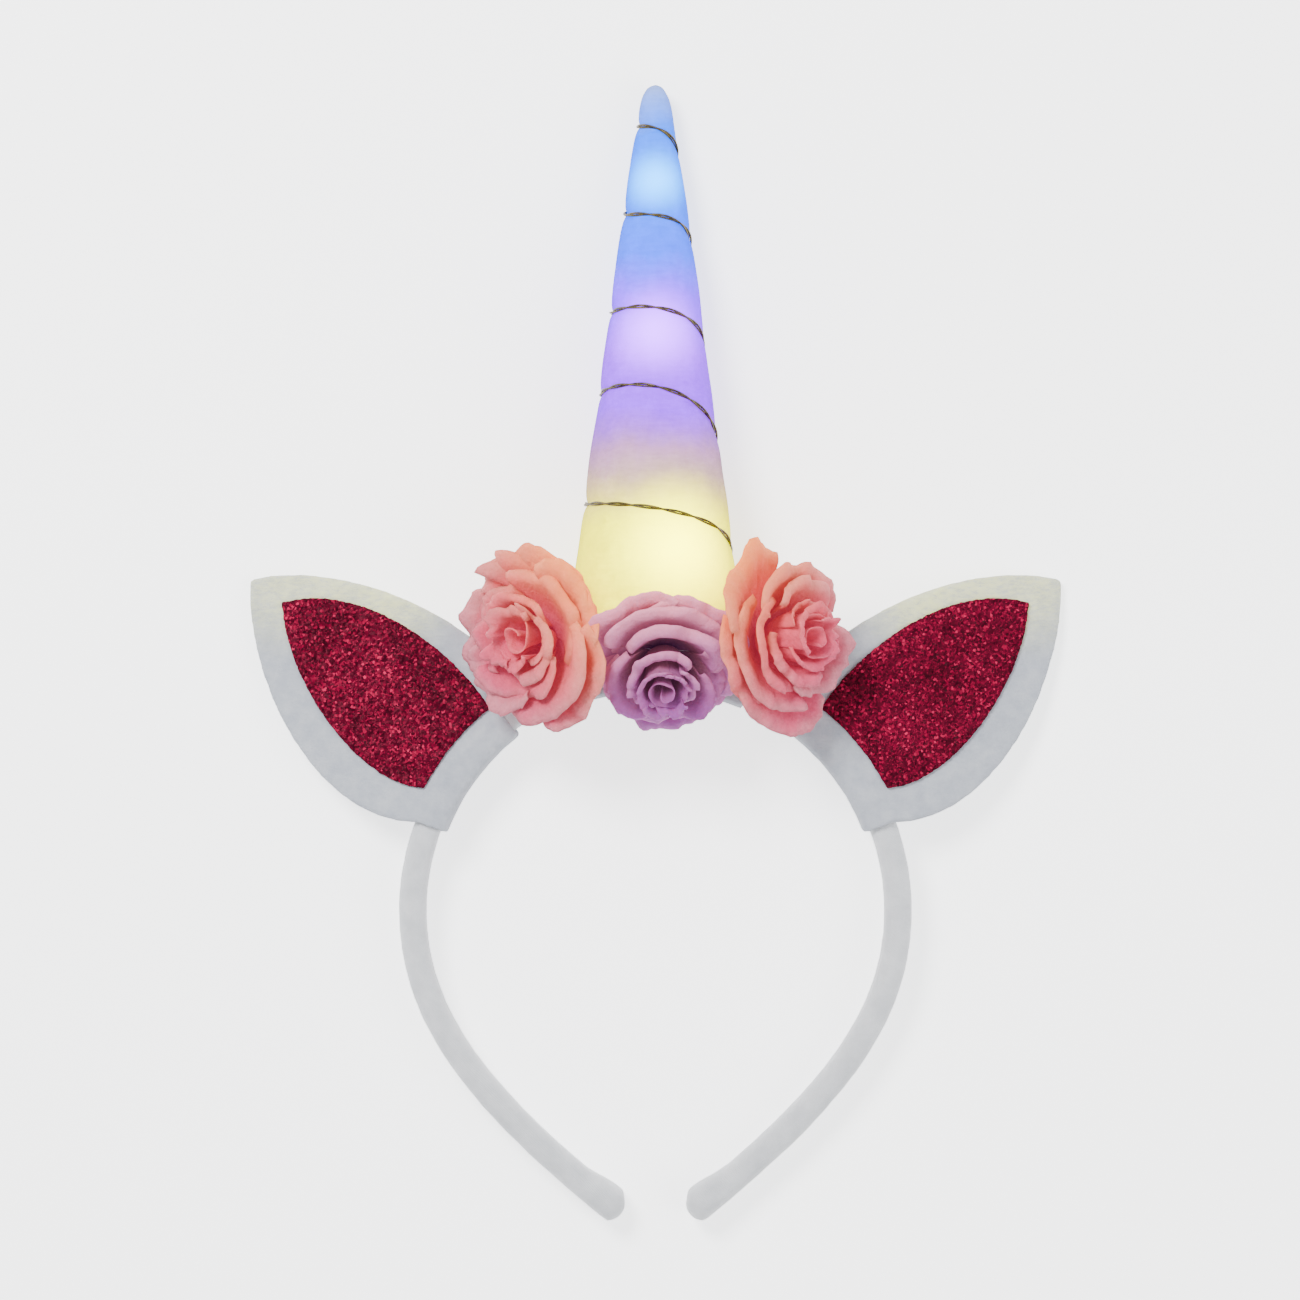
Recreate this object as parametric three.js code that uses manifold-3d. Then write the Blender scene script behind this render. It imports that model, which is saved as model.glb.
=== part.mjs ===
// Unicorn horn headband: a padded band with a stuffed, cord-wound horn, two felt ears with glitter
// panels and three cloth roses. Millimetres. It lies on its back: +Y runs from the band's ends to the
// horn's tip, +X to the object's right hand side in that view, +Z up and away from the floor.

import * as THREE from "three";
import { mergeVertices } from "three/addons/utils/BufferGeometryUtils.js";
import Module from "manifold-3d";

const wasm = await Module();
wasm.setup();

// Clearance between pieces that touch on the real object
const FIT_GAP = 0.3;

// Band: a half circle over the head, then two legs that curve in to rounded ends
const BAND_RADIUS = 66.4;
const BAND_THICKNESS = 7.6;
const BAND_DEPTH = 10;
const BAND_TILT = 2.4;
const LEG_DROP = 80.5;
const LEG_END_SPREAD = 13;
const LEG_TOP_HANDLE = 27;
const LEG_END_HANDLE = 49.5;
const LEG_END_ANGLE = 39;
const END_SWELL = 1.22;
const END_SWELL_LENGTH = 13;
const ARC_SPAN = 180;
const ARC_FACETS = 25;
const LEG_STATIONS = 11;
const CAP_ANGLES = [30, 55, 76];

// Band section, shares of its half thickness (out) and half depth (fore); flat against the head
const BAND_SECTION = [
  { out: -1, fore: -0.55 },
  { out: -1, fore: 0.55 },
  { out: -0.8, fore: 0.9 },
  { out: -0.4, fore: 1 },
  { out: 0.35, fore: 1 },
  { out: 0.75, fore: 0.84 },
  { out: 1, fore: 0.42 },
  { out: 1, fore: -0.42 },
  { out: 0.75, fore: -0.84 },
  { out: 0.35, fore: -1 },
  { out: -0.4, fore: -1 },
  { out: -0.8, fore: -0.9 },
];

// Ears: two felt layers that lean back and wrap round the band at their root
const FELT = 1.5;
const EAR_REACH = 79;
const EAR_WIDTH = 60;
const EAR_LEAN = 12.4;
const EAR_FROM_CROWN = 53.4;
const EAR_WRAP_SPAN = 31.7;
const EAR_WRAP_FACETS = 6;
const EAR_CURVE_STEPS = 14;
const PANEL_THICKNESS = 0.8;

// Ear outline as three curves; across is a share of EAR_WIDTH, reach a share of EAR_REACH
const EAR_OUTLINE = {
  rootUpper: { across: 0.47, reach: 0.0 },
  topNear: { across: 0.587, reach: 0.405 },
  topFar: { across: 0.375, reach: 0.83 },
  tip: { across: 0.098, reach: 1 },
  lowFar: { across: -0.273, reach: 0.807 },
  lowNear: { across: -0.612, reach: 0.296 },
  rootLower: { across: -0.31, reach: 0.0 },
};

// Glitter panel outline on the same shares
const PANEL_OUTLINE = {
  rootUpper: { across: 0.3, reach: 0.036 },
  topNear: { across: 0.418, reach: 0.285 },
  topFar: { across: 0.405, reach: 0.68 },
  tip: { across: 0.107, reach: 0.855 },
  lowFar: { across: -0.172, reach: 0.675 },
  lowNear: { across: -0.345, reach: 0.255 },
  rootLower: { across: -0.175, reach: 0.056 },
  rootMiddle: { across: 0.083, reach: 0.085 },
};

// Horn: a stuffed cone that leans back until it lies on the floor
const HORN_LENGTH = 152.4;
const HORN_RADIUS = 22.5;
const HORN_LEAN = 9.15;
const HORN_SEAT_RISE = 5.4;
const HORN_FORWARD = 11.2;
const HORN_SIDES = 20;

// Horn radius as a share of HORN_RADIUS at shares of its length
const HORN_PROFILE = [
  { along: 0, girth: 0.96 },
  { along: 0.025, girth: 1 },
  { along: 0.18, girth: 0.91 },
  { along: 0.45, girth: 0.665 },
  { along: 0.6, girth: 0.54 },
  { along: 0.77, girth: 0.385 },
  { along: 0.925, girth: 0.226 },
  { along: 0.965, girth: 0.178 },
  { along: 0.985, girth: 0.132 },
  { along: 0.996, girth: 0.07 },
  { along: 1, girth: 0 },
];

// Cord wound round the horn at each half turn: its height, a share of the horn's length, and how far
// it arches up over the front, a share of the horn's radius
const THREAD_DIAMETER = 1.1;
const THREAD_SIDES = 5;
const THREAD_TURNS = { start: -0.3, end: 4.8 };
const THREAD_PATH = [
  { turn: -1.5, along: 1.16, arch: 0.25 },
  { turn: -1, along: 1.08, arch: 0.25 },
  { turn: -0.5, along: 0.985, arch: 0.25 },
  { turn: 0, along: 0.924, arch: 0.25 },
  { turn: 0.5, along: 0.88, arch: 0.25 },
  { turn: 1, along: 0.763, arch: 0.17 },
  { turn: 1.5, along: 0.718, arch: 0.17 },
  { turn: 2, along: 0.583, arch: 0.28 },
  { turn: 2.5, along: 0.533, arch: 0.28 },
  { turn: 3, along: 0.436, arch: 0.31 },
  { turn: 3.5, along: 0.362, arch: 0.31 },
  { turn: 4, along: 0.237, arch: 0.13 },
  { turn: 4.5, along: 0.16, arch: 0.13 },
  { turn: 5, along: 0.045, arch: 0.25 },
  { turn: 5.5, along: -0.03, arch: 0.25 },
  { turn: 6, along: -0.12, arch: 0.25 },
  { turn: 6.5, along: -0.2, arch: 0.25 },
];
const GROOVE_DEPTH = THREAD_DIAMETER + FIT_GAP + 0.1;
const PLAIN_ENDS = 0.02;

// Rows of the horn's skin between one groove and the next, with how full the skin is there
const PUFF_ROWS = [
  { between: 0, full: 0 },
  { between: 0.13, full: 0.88 },
  { between: 0.32, full: 1.12 },
  { between: 0.54, full: 1.16 },
  { between: 0.74, full: 1.1 },
  { between: 0.88, full: 0.88 },
];
const MOST_FULL = Math.max(...PUFF_ROWS.map(({ full }) => full));

// Felt pad: a disc under the horn and a wrap round the band
const PAD_THICKNESS = 2;
const PAD_MARGIN = 1;
const PAD_WRAP_SPAN = 46;
const PAD_WRAP_FACETS = 7;

// Roses: four cups of petals, one inside the other, on a hip that is glued on
const ROSE_RADIUS = 26;
const PETAL_WALL = 1;
const ROSE_HIP_LENGTH = 16;
const ROSE_HIP_SHARE = 0.15;
const PETAL_STEPS = [0.03, 0.27, 0.5, 0.73, 0.97];
const PETAL_ROWS = [ROSE_HIP_SHARE, 0.42, 0.7, 0.9, 1];

// Petal cups; radius, height and curl are shares of the rose's radius
const ROSE_CUPS = [
  { part: "outer", petals: 5, radius: 1, height: 0.42, power: 1.6, curl: 0.12, turn: 0 },
  { part: "middle", petals: 5, radius: 0.8, height: 0.55, power: 1.8, curl: 0.08, turn: 33 },
  { part: "inner", petals: 4, radius: 0.55, height: 0.66, power: 1.6, curl: 0.04, turn: 61 },
  { part: "bud", petals: 3, radius: 0.27, height: 0.72, power: 1.4, curl: 0, turn: 15 },
];

// Petal rims: notches between petals, a rolled edge, one side lapped over the next, and ruffles
const PETAL_NOTCH = 0.2;
const PETAL_NOTCH_POWER = 1.6;
const PETAL_CURL_POWER = 7;
const PETAL_OVERLAP = 0.09;
const PETAL_OVERLAP_POWER = 1.5;
const PETAL_RUFFLE = 0.035;
const PETAL_RUFFLE_WAVES = 2;
const PETAL_RUFFLE_SHIFT = 2.1;
const SLOPE_STEP = 0.01;

// Roses: size is a share of ROSE_RADIUS, side and rise from the crown are shares of BAND_RADIUS and
// forward is a share of BAND_DEPTH. They face outward by yaw and toward the band's ends by pitch;
// heart says how far the inner cups stand out of the outer one
const ROSES = {
  rose_left: {
    size: 1, side: -0.434, rise: 0.145, forward: 1.44,
    yaw: -38, pitch: 0, turn: 20, heart: 0.6,
  },
  rose_center: {
    size: 0.83, side: 0.034, rise: 0.08, forward: 2.1,
    yaw: 0, pitch: 35, turn: 75, heart: 1.6,
  },
  rose_right: {
    size: 0.95, side: 0.437, rise: 0.136, forward: 1.7,
    yaw: 47, pitch: 0, turn: 50, heart: 1.4,
  },
};

// Colours and surfaces of the plain model
const LOOKS = {
  fabric: { color: 0xe8ecf1, roughness: 0.85 },
  felt: { color: 0xe4e9ee, roughness: 0.95 },
  glitter: { color: 0x9a1f45, roughness: 0.45, metalness: 0.3 },
  cloth: { color: 0xdcdcf6, roughness: 0.7 },
  cord: { color: 0x8f8038, roughness: 0.4, metalness: 0.8 },
  pink: { color: 0xf0a3a8, roughness: 0.8 },
  lilac: { color: 0xc49ad2, roughness: 0.8 },
};

const UP = new THREE.Vector3(0, 0, 1);

function radians(degrees) {
  return THREE.MathUtils.degToRad(degrees);
}

function material(look) {
  return new THREE.MeshStandardMaterial(LOOKS[look]);
}

// Reads a table at x along a smooth curve through its rows
function smoothTable(rows, key, value, x) {
  const last = rows.length - 1;
  if (x <= rows[0][key]) {
    return rows[0][value];
  }
  if (x >= rows[last][key]) {
    return rows[last][value];
  }
  let i = 0;
  while (x > rows[i + 1][key]) {
    i += 1;
  }
  const span = rows[i + 1][key] - rows[i][key];
  const chord = (a) => (rows[a + 1][value] - rows[a][value]) / (rows[a + 1][key] - rows[a][key]);
  const slopeAt = (a) => {
    if (a === 0) {
      return chord(0);
    }
    if (a === last) {
      return chord(last - 1);
    }
    return (chord(a - 1) + chord(a)) / 2;
  };
  const t = (x - rows[i][key]) / span;
  const t2 = t * t;
  const t3 = t2 * t;
  const startPart = (2 * t3 - 3 * t2 + 1) * rows[i][value] + (t3 - 2 * t2 + t) * span * slopeAt(i);
  const endPart = (3 * t2 - 2 * t3) * rows[i + 1][value] + (t3 - t2) * span * slopeAt(i + 1);
  return startPart + endPart;
}

// Keeps only positions, merges equal points and drops the slivers that merging leaves
function welded(geometry) {
  const bare = geometry.clone();
  bare.deleteAttribute("normal");
  bare.deleteAttribute("uv");
  const merged = mergeVertices(bare, 1e-4);
  const index = merged.index.array;
  const kept = [];
  for (let i = 0; i < index.length; i += 3) {
    const [a, b, c] = [index[i], index[i + 1], index[i + 2]];
    if (a !== b && b !== c && c !== a) {
      kept.push(a, b, c);
    }
  }
  merged.setIndex(kept);
  return merged;
}

function signedVolume(geometry) {
  const p = geometry.attributes.position;
  const index = geometry.index.array;
  const [a, b, c] = [new THREE.Vector3(), new THREE.Vector3(), new THREE.Vector3()];
  let volume = 0;
  for (let i = 0; i < index.length; i += 3) {
    a.fromBufferAttribute(p, index[i]);
    b.fromBufferAttribute(p, index[i + 1]);
    c.fromBufferAttribute(p, index[i + 2]);
    volume += a.dot(b.cross(c)) / 6;
  }
  return volume;
}

// Closed skin over rings of points, with a point to close each end
function skinOverRings(rings, firstPoint, lastPoint) {
  const sides = rings[0].length;
  const points = [...rings.flat(), firstPoint, lastPoint];
  const first = points.length - 2;
  const last = points.length - 1;
  const index = [];
  for (let r = 0; r + 1 < rings.length; r += 1) {
    for (let s = 0; s < sides; s += 1) {
      const next = (s + 1) % sides;
      const a = r * sides + s;
      const b = r * sides + next;
      const c = (r + 1) * sides + next;
      const d = (r + 1) * sides + s;
      index.push(a, b, c, a, c, d);
    }
  }
  const lastRing = (rings.length - 1) * sides;
  for (let s = 0; s < sides; s += 1) {
    const next = (s + 1) % sides;
    index.push(first, next, s, last, lastRing + s, lastRing + next);
  }
  const geometry = new THREE.BufferGeometry().setFromPoints(points);
  geometry.setIndex(index);
  return facingOut(geometry);
}

function facingOut(geometry) {
  const closed = welded(geometry);
  if (signedVolume(closed) < 0) {
    const index = closed.index.array;
    for (let i = 0; i < index.length; i += 3) {
      [index[i], index[i + 1]] = [index[i + 1], index[i]];
    }
  }
  return closed;
}

function toSolid(geometry, matrix = new THREE.Matrix4()) {
  const mesh = facingOut(geometry.clone().applyMatrix4(matrix));
  return new wasm.Manifold(new wasm.Mesh({
    numProp: 3,
    vertProperties: new Float32Array(mesh.attributes.position.array),
    triVerts: new Uint32Array(mesh.index.array),
  }));
}

// The largest single body of a solid, as a geometry
function toGeometry(solid) {
  const bodies = solid.decompose();
  const main = bodies.reduce((best, body) => (body.volume() > best.volume() ? body : best));
  const mesh = main.getMesh();
  const geometry = new THREE.BufferGeometry();
  geometry.setAttribute("position", new THREE.BufferAttribute(mesh.vertProperties, 3));
  geometry.setIndex(new THREE.BufferAttribute(mesh.triVerts, 1));
  return geometry;
}

function named(name, geometry, look) {
  const mesh = new THREE.Mesh(geometry, look);
  mesh.name = name;
  return mesh;
}

// Band

function bandLeg(side) {
  const end = new THREE.Vector2(side * LEG_END_SPREAD, -LEG_DROP);
  const handle = radians(LEG_END_ANGLE);
  const reach = new THREE.Vector2(side * Math.cos(handle), Math.sin(handle)).multiplyScalar(LEG_END_HANDLE);
  return new THREE.CubicBezierCurve(
    new THREE.Vector2(side * BAND_RADIUS, 0),
    new THREE.Vector2(side * BAND_RADIUS, -LEG_TOP_HANDLE),
    end.clone().add(reach),
    end,
  );
}

// A station across the band at an angle from the crown, positive to the right
function crownStation(fromCrown) {
  const a = radians(fromCrown);
  const out = new THREE.Vector3(Math.sin(a), Math.cos(a), 0);
  return { at: out.clone().multiplyScalar(BAND_RADIUS), out, swell: 1 };
}

function legStation(side, t) {
  const leg = bandLeg(side);
  const place = leg.getPointAt(t);
  const along = leg.getTangentAt(t);
  const out = new THREE.Vector3(-side * along.y, side * along.x, 0);
  const toEnd = leg.getLength() * (1 - t);
  const nearEnd = THREE.MathUtils.smoothstep(END_SWELL_LENGTH - toEnd, 0, END_SWELL_LENGTH);
  const swell = 1 + (END_SWELL - 1) * nearEnd;
  return { at: new THREE.Vector3(place.x, place.y, 0), out, swell };
}

// Rounded end beyond the last station of a leg
function capStations(side) {
  const end = legStation(side, 1);
  const along = bandLeg(side).getTangentAt(1);
  const dome = (BAND_THICKNESS / 2) * END_SWELL;
  return CAP_ANGLES.map((angle) => {
    const beyond = new THREE.Vector3(along.x, along.y, 0).multiplyScalar(dome * Math.sin(radians(angle)));
    return { at: end.at.clone().add(beyond), out: end.out, swell: END_SWELL * Math.cos(radians(angle)) };
  });
}

// Section of the band at a station, grown outward by an amount
function bandRing(station, grow = 0) {
  return BAND_SECTION.map(({ out, fore }) => {
    const across = out * ((BAND_THICKNESS / 2) * station.swell + grow);
    const depth = fore * ((BAND_DEPTH / 2) * station.swell + grow);
    return station.at.clone().addScaledVector(station.out, across).addScaledVector(UP, depth);
  });
}

function bandGeometry() {
  const legs = (side) => {
    const stations = [];
    for (let i = 1; i <= LEG_STATIONS; i += 1) {
      stations.push(legStation(side, i / LEG_STATIONS));
    }
    return [...stations, ...capStations(side)];
  };
  const arc = [];
  for (let i = 0; i <= ARC_FACETS; i += 1) {
    arc.push(crownStation(ARC_SPAN * (i / ARC_FACETS - 0.5)));
  }
  const stations = [...legs(-1).reverse(), ...arc, ...legs(1)];
  const rings = stations.map((station) => bandRing(station));
  return skinOverRings(rings, stations[0].at, stations[stations.length - 1].at);
}

// A stretch of tube round the band, centred at an angle from the crown
function wrapSolid(fromCrown, span, facets, grow, spare = 0) {
  const stations = [];
  for (let i = 0; i <= facets; i += 1) {
    stations.push(crownStation(fromCrown - span / 2 - spare + ((span + 2 * spare) * i) / facets));
  }
  const rings = stations.map((station) => bandRing(station, grow));
  return toSolid(skinOverRings(rings, stations[0].at, stations[facets].at));
}

// Ears

function earPoint(row) {
  return new THREE.Vector2(row.across * EAR_WIDTH, row.reach * EAR_REACH);
}

// Outline of an ear or a panel: up one side to the tip and down the other
function earShape(outline) {
  const p = Object.fromEntries(Object.entries(outline).map(([key, row]) => [key, earPoint(row)]));
  const shape = new THREE.Shape();
  shape.moveTo(p.rootUpper.x, p.rootUpper.y);
  shape.bezierCurveTo(p.topNear.x, p.topNear.y, p.topFar.x, p.topFar.y, p.tip.x, p.tip.y);
  shape.bezierCurveTo(p.lowFar.x, p.lowFar.y, p.lowNear.x, p.lowNear.y, p.rootLower.x, p.rootLower.y);
  if (p.rootMiddle) {
    shape.quadraticCurveTo(p.rootMiddle.x, p.rootMiddle.y, p.rootUpper.x, p.rootUpper.y);
  }
  return shape;
}

// Frame on the front of the ear's wrap: x along the band to the crown, y out along the ear
function earFrame() {
  const root = crownStation(-EAR_FROM_CROWN);
  const toCrown = new THREE.Vector3(root.out.y, -root.out.x, 0);
  const frame = new THREE.Matrix4().makeBasis(toCrown, root.out, UP);
  const front = BAND_DEPTH / 2 + FIT_GAP + FELT;
  frame.setPosition(root.at.clone().addScaledVector(UP, front));
  return frame.multiply(new THREE.Matrix4().makeRotationX(-radians(EAR_LEAN)));
}

function flatPiece(outline, thickness, top) {
  const options = { depth: thickness, bevelEnabled: false, curveSegments: EAR_CURVE_STEPS };
  return new THREE.ExtrudeGeometry(earShape(outline), options).translate(0, 0, top - thickness);
}

// Left ear: the leaf and the wrap round the band, hollowed where the band passes through
function leftEarSolid() {
  const leaf = toSolid(flatPiece(EAR_OUTLINE, 2 * FELT, 0), earFrame());
  const wrap = wrapSolid(-EAR_FROM_CROWN, EAR_WRAP_SPAN, EAR_WRAP_FACETS, FIT_GAP + FELT);
  const passage = wrapSolid(-EAR_FROM_CROWN, EAR_WRAP_SPAN, EAR_WRAP_FACETS * 2, FIT_GAP, EAR_WRAP_SPAN / 2);
  return leaf.add(wrap).subtract(passage);
}

function leftPanelGeometry() {
  return flatPiece(PANEL_OUTLINE, PANEL_THICKNESS, FIT_GAP + PANEL_THICKNESS).applyMatrix4(earFrame());
}

// The same piece on the other side
function mirrored(geometry) {
  return facingOut(geometry.clone().applyMatrix4(new THREE.Matrix4().makeScale(-1, 1, 1)));
}

// Horn and its cord

function hornFrame() {
  const seat = new THREE.Vector3(0, BAND_RADIUS + BAND_THICKNESS / 2 + HORN_SEAT_RISE, HORN_FORWARD);
  const frame = new THREE.Matrix4().makeRotationX(-radians(HORN_LEAN));
  return frame.setPosition(seat);
}

function hornRadius(along) {
  return HORN_RADIUS * smoothTable(HORN_PROFILE, "along", "girth", along);
}

// Height of the cord, as a share of the horn's length, after a number of turns
function threadAlong(turns) {
  const along = smoothTable(THREAD_PATH, "turn", "along", turns);
  const arch = smoothTable(THREAD_PATH, "turn", "arch", turns);
  const radius = hornRadius(THREE.MathUtils.clamp(along, 0, 1));
  return along + (arch * radius * Math.cos(threadAngle(turns))) / HORN_LENGTH;
}

// Turns start at the horn's left and go over its front
function threadAngle(turns) {
  return 2 * Math.PI * turns - Math.PI / 2;
}

function hornPoint(angle, along, radius) {
  return new THREE.Vector3(radius * Math.sin(angle), along * HORN_LENGTH, radius * Math.cos(angle));
}

// Radius of the stuffed skin: drawn in under the cord, swollen between its turns, plain at both ends
function skinRadius(along, full) {
  const fade = THREE.MathUtils.clamp(Math.min(along, 1 - along) / PLAIN_ENDS, 0, 1);
  return hornRadius(along) + GROOVE_DEPTH * (full - 1) * fade;
}

// Rows of the skin follow the cord's groove
function hornGeometry() {
  const firstTurn = Math.floor(THREAD_PATH[0].turn);
  const lastTurn = Math.floor(THREAD_PATH[THREAD_PATH.length - 1].turn);
  const rowsPerTurn = PUFF_ROWS.length;
  const rows = (lastTurn - firstTurn) * rowsPerTurn;
  const points = [];
  for (let row = 0; row <= rows; row += 1) {
    const turn = firstTurn + Math.floor(row / rowsPerTurn);
    const { between, full } = PUFF_ROWS[row % rowsPerTurn];
    for (let side = 0; side <= HORN_SIDES; side += 1) {
      const turns = turn + side / HORN_SIDES;
      const height = THREE.MathUtils.lerp(threadAlong(turns), threadAlong(turns + 1), between);
      const along = THREE.MathUtils.clamp(height, 0, 1);
      points.push(hornPoint(threadAngle(turns), along, skinRadius(along, full)));
    }
  }
  return closeSpiral(points, rows);
}

// Joins spiral rows of points into a closed skin: a row's end meets the start of the row one turn on
function closeSpiral(points, rows) {
  const stride = HORN_SIDES + 1;
  const index = [];
  for (let row = 0; row < rows; row += 1) {
    for (let side = 0; side < HORN_SIDES; side += 1) {
      const a = row * stride + side;
      const b = a + 1;
      const c = b + stride;
      const d = a + stride;
      index.push(a, b, c, a, c, d);
    }
  }
  const base = points.length;
  points.push(new THREE.Vector3(0, 0, 0));
  for (let side = 0; side < HORN_SIDES; side += 1) {
    const a = rows * stride + side;
    index.push(base, a, a + 1);
  }
  const geometry = new THREE.BufferGeometry().setFromPoints(points);
  geometry.setIndex(index);
  return facingOut(geometry).applyMatrix4(hornFrame());
}

// The cord lies in the horn's groove from near the tip to the base
function threadGeometry() {
  const steps = Math.round((THREAD_TURNS.end - THREAD_TURNS.start) * HORN_SIDES);
  const places = [];
  for (let i = 0; i <= steps; i += 1) {
    const turns = THREAD_TURNS.start + i / HORN_SIDES;
    const along = threadAlong(turns);
    const radius = skinRadius(along, 0) + FIT_GAP + THREAD_DIAMETER / 2;
    places.push({ point: hornPoint(threadAngle(turns), along, radius), angle: threadAngle(turns) });
  }
  const rings = places.map(({ point, angle }, i) => {
    const before = places[Math.max(0, i - 1)].point;
    const after = places[Math.min(steps, i + 1)].point;
    const along = after.clone().sub(before).normalize();
    const out = new THREE.Vector3(Math.sin(angle), 0, Math.cos(angle));
    const level = new THREE.Vector3().crossVectors(along, out).normalize();
    const lift = new THREE.Vector3().crossVectors(level, along);
    return Array.from({ length: THREAD_SIDES }, (_, k) => {
      const a = (2 * Math.PI * k) / THREAD_SIDES;
      const ring = point.clone().addScaledVector(lift, (THREAD_DIAMETER / 2) * Math.cos(a));
      return ring.addScaledVector(level, (THREAD_DIAMETER / 2) * Math.sin(a));
    });
  });
  return skinOverRings(rings, places[0].point, places[steps].point).applyMatrix4(hornFrame());
}

// The horn's outer form, grown by a clearance, for cutting what leans against it
function hornEnvelope(grow) {
  const rim = GROOVE_DEPTH * (MOST_FULL - 1) + grow;
  const profile = [new THREE.Vector2(0, -grow)];
  HORN_PROFILE.forEach(({ along, girth }) => {
    if (girth > 0) {
      const lower = along === 0 ? -grow : along * HORN_LENGTH;
      profile.push(new THREE.Vector2(girth * HORN_RADIUS + rim, lower));
    }
  });
  profile.push(new THREE.Vector2(0, HORN_LENGTH + rim));
  return toSolid(new THREE.LatheGeometry(profile, HORN_SIDES * 2), hornFrame());
}

// Pad

// Felt disc under the horn with a wrap round the band; grown for cutting its neighbours
function padSolid(grow) {
  const radius = HORN_RADIUS + PAD_MARGIN + grow;
  const disc = new THREE.CylinderGeometry(radius, radius, PAD_THICKNESS + 2 * grow, HORN_SIDES);
  disc.translate(0, -FIT_GAP - PAD_THICKNESS / 2, 0);
  const wrap = wrapSolid(0, PAD_WRAP_SPAN, PAD_WRAP_FACETS, FIT_GAP + PAD_THICKNESS + grow);
  return toSolid(disc, hornFrame()).add(wrap);
}

function padGeometry() {
  const passage = wrapSolid(0, PAD_WRAP_SPAN, PAD_WRAP_FACETS * 2, FIT_GAP, PAD_WRAP_SPAN / 2);
  return toGeometry(padSolid(0).subtract(passage));
}

// Roses

// Height of a petal cup at a share of its radius
function cupHeight(cup, roseRadius, base, out) {
  const rim = cup.height * roseRadius - base;
  return base + rim * out ** cup.power - cup.curl * roseRadius * out ** PETAL_CURL_POWER;
}

// Point on a petal's outer or inner face; across runs over the petal, out from the base to the rim
function cupPoint(cup, roseRadius, base, petal, across, out, inside) {
  const angle = radians(cup.turn) + (2 * Math.PI * (petal + across)) / cup.petals;
  const edge = (1 - Math.sin(Math.PI * across)) ** PETAL_NOTCH_POWER;
  const reach = cup.radius * roseRadius * out * (1 - PETAL_NOTCH * edge * out ** 2);
  const lap = PETAL_OVERLAP * roseRadius * cup.radius * (0.5 - across) * out ** PETAL_OVERLAP_POWER;
  const phase = petal * PETAL_RUFFLE_SHIFT + cup.turn;
  const wave = Math.sin(across * PETAL_RUFFLE_WAVES * 2 * Math.PI + phase);
  const ruffle = PETAL_RUFFLE * roseRadius * wave * out ** 3;
  const middle = cupHeight(cup, roseRadius, base, out);
  const rise = middle - cupHeight(cup, roseRadius, base, out - SLOPE_STEP);
  const slope = rise / (SLOPE_STEP * cup.radius * roseRadius);
  const wall = inside ? PETAL_WALL / Math.hypot(1, slope) : 0;
  const radius = reach - wall * slope;
  return new THREE.Vector3(radius * Math.cos(angle), radius * Math.sin(angle), middle + lap + ruffle + wall);
}

// One cup of petals as a closed cloth wall; the outermost one has the hip that is glued on
function cupGeometry(cup, roseRadius, layer) {
  const base = layer * (PETAL_WALL + FIT_GAP);
  const ring = (out, inside) => {
    const points = [];
    for (let petal = 0; petal < cup.petals; petal += 1) {
      PETAL_STEPS.forEach((across) => {
        points.push(cupPoint(cup, roseRadius, base, petal, across, out, inside));
      });
    }
    return points;
  };
  const hip = layer === 0 ? ROSE_HIP_LENGTH : 0;
  const outer = PETAL_ROWS.map((out) => ring(out, false));
  const inner = PETAL_ROWS.map((out) => ring(out, true));
  const rings = [...outer, ...inner.reverse()];
  if (hip > 0) {
    rings.unshift(rings[0].map((point) => new THREE.Vector3(point.x, point.y, -hip)));
  }
  const underside = new THREE.Vector3(0, 0, hip > 0 ? -hip : base);
  return skinOverRings(rings, underside, new THREE.Vector3(0, 0, base + PETAL_WALL));
}

function roseFrame(rose) {
  const turn = new THREE.Euler(radians(rose.pitch), radians(rose.yaw), 0, "YXZ");
  const frame = new THREE.Matrix4().makeRotationFromEuler(turn);
  frame.multiply(new THREE.Matrix4().makeRotationZ(radians(rose.turn)));
  const height = (1 + rose.rise) * BAND_RADIUS;
  return frame.setPosition(rose.side * BAND_RADIUS, height, rose.forward * BAND_DEPTH);
}

// A cup of one rose, with its height set by how far that rose's heart stands out
function roseCup(cup, rose) {
  const outer = ROSE_CUPS[0].height;
  return { ...cup, height: outer + rose.heart * (cup.height - outer) };
}

function roseMeshes(name, look) {
  const rose = ROSES[name];
  const carriers = hornEnvelope(FIT_GAP).add(padSolid(FIT_GAP));
  return ROSE_CUPS.map((cup, layer) => {
    const cloth = cupGeometry(roseCup(cup, rose), rose.size * ROSE_RADIUS, layer);
    const solid = toSolid(cloth, roseFrame(rose));
    return named(`${name}_${cup.part}`, toGeometry(solid.subtract(carriers)), material(look));
  });
}

// Assembly

function headband() {
  const worn = new THREE.Group();
  const ear = toGeometry(leftEarSolid());
  const panel = leftPanelGeometry();
  worn.add(
    named("band", bandGeometry(), material("fabric")),
    named("ear_left", ear, material("felt")),
    named("ear_right", mirrored(ear), material("felt")),
    named("ear_panel_left", facingOut(panel), material("glitter")),
    named("ear_panel_right", mirrored(panel), material("glitter")),
    named("base_pad", padGeometry(), material("felt")),
    named("horn", hornGeometry(), material("cloth")),
    named("horn_thread", threadGeometry(), material("cord")),
    ...roseMeshes("rose_left", "pink"),
    ...roseMeshes("rose_center", "lilac"),
    ...roseMeshes("rose_right", "pink"),
  );
  worn.rotation.x = radians(BAND_TILT);
  return worn;
}

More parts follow.
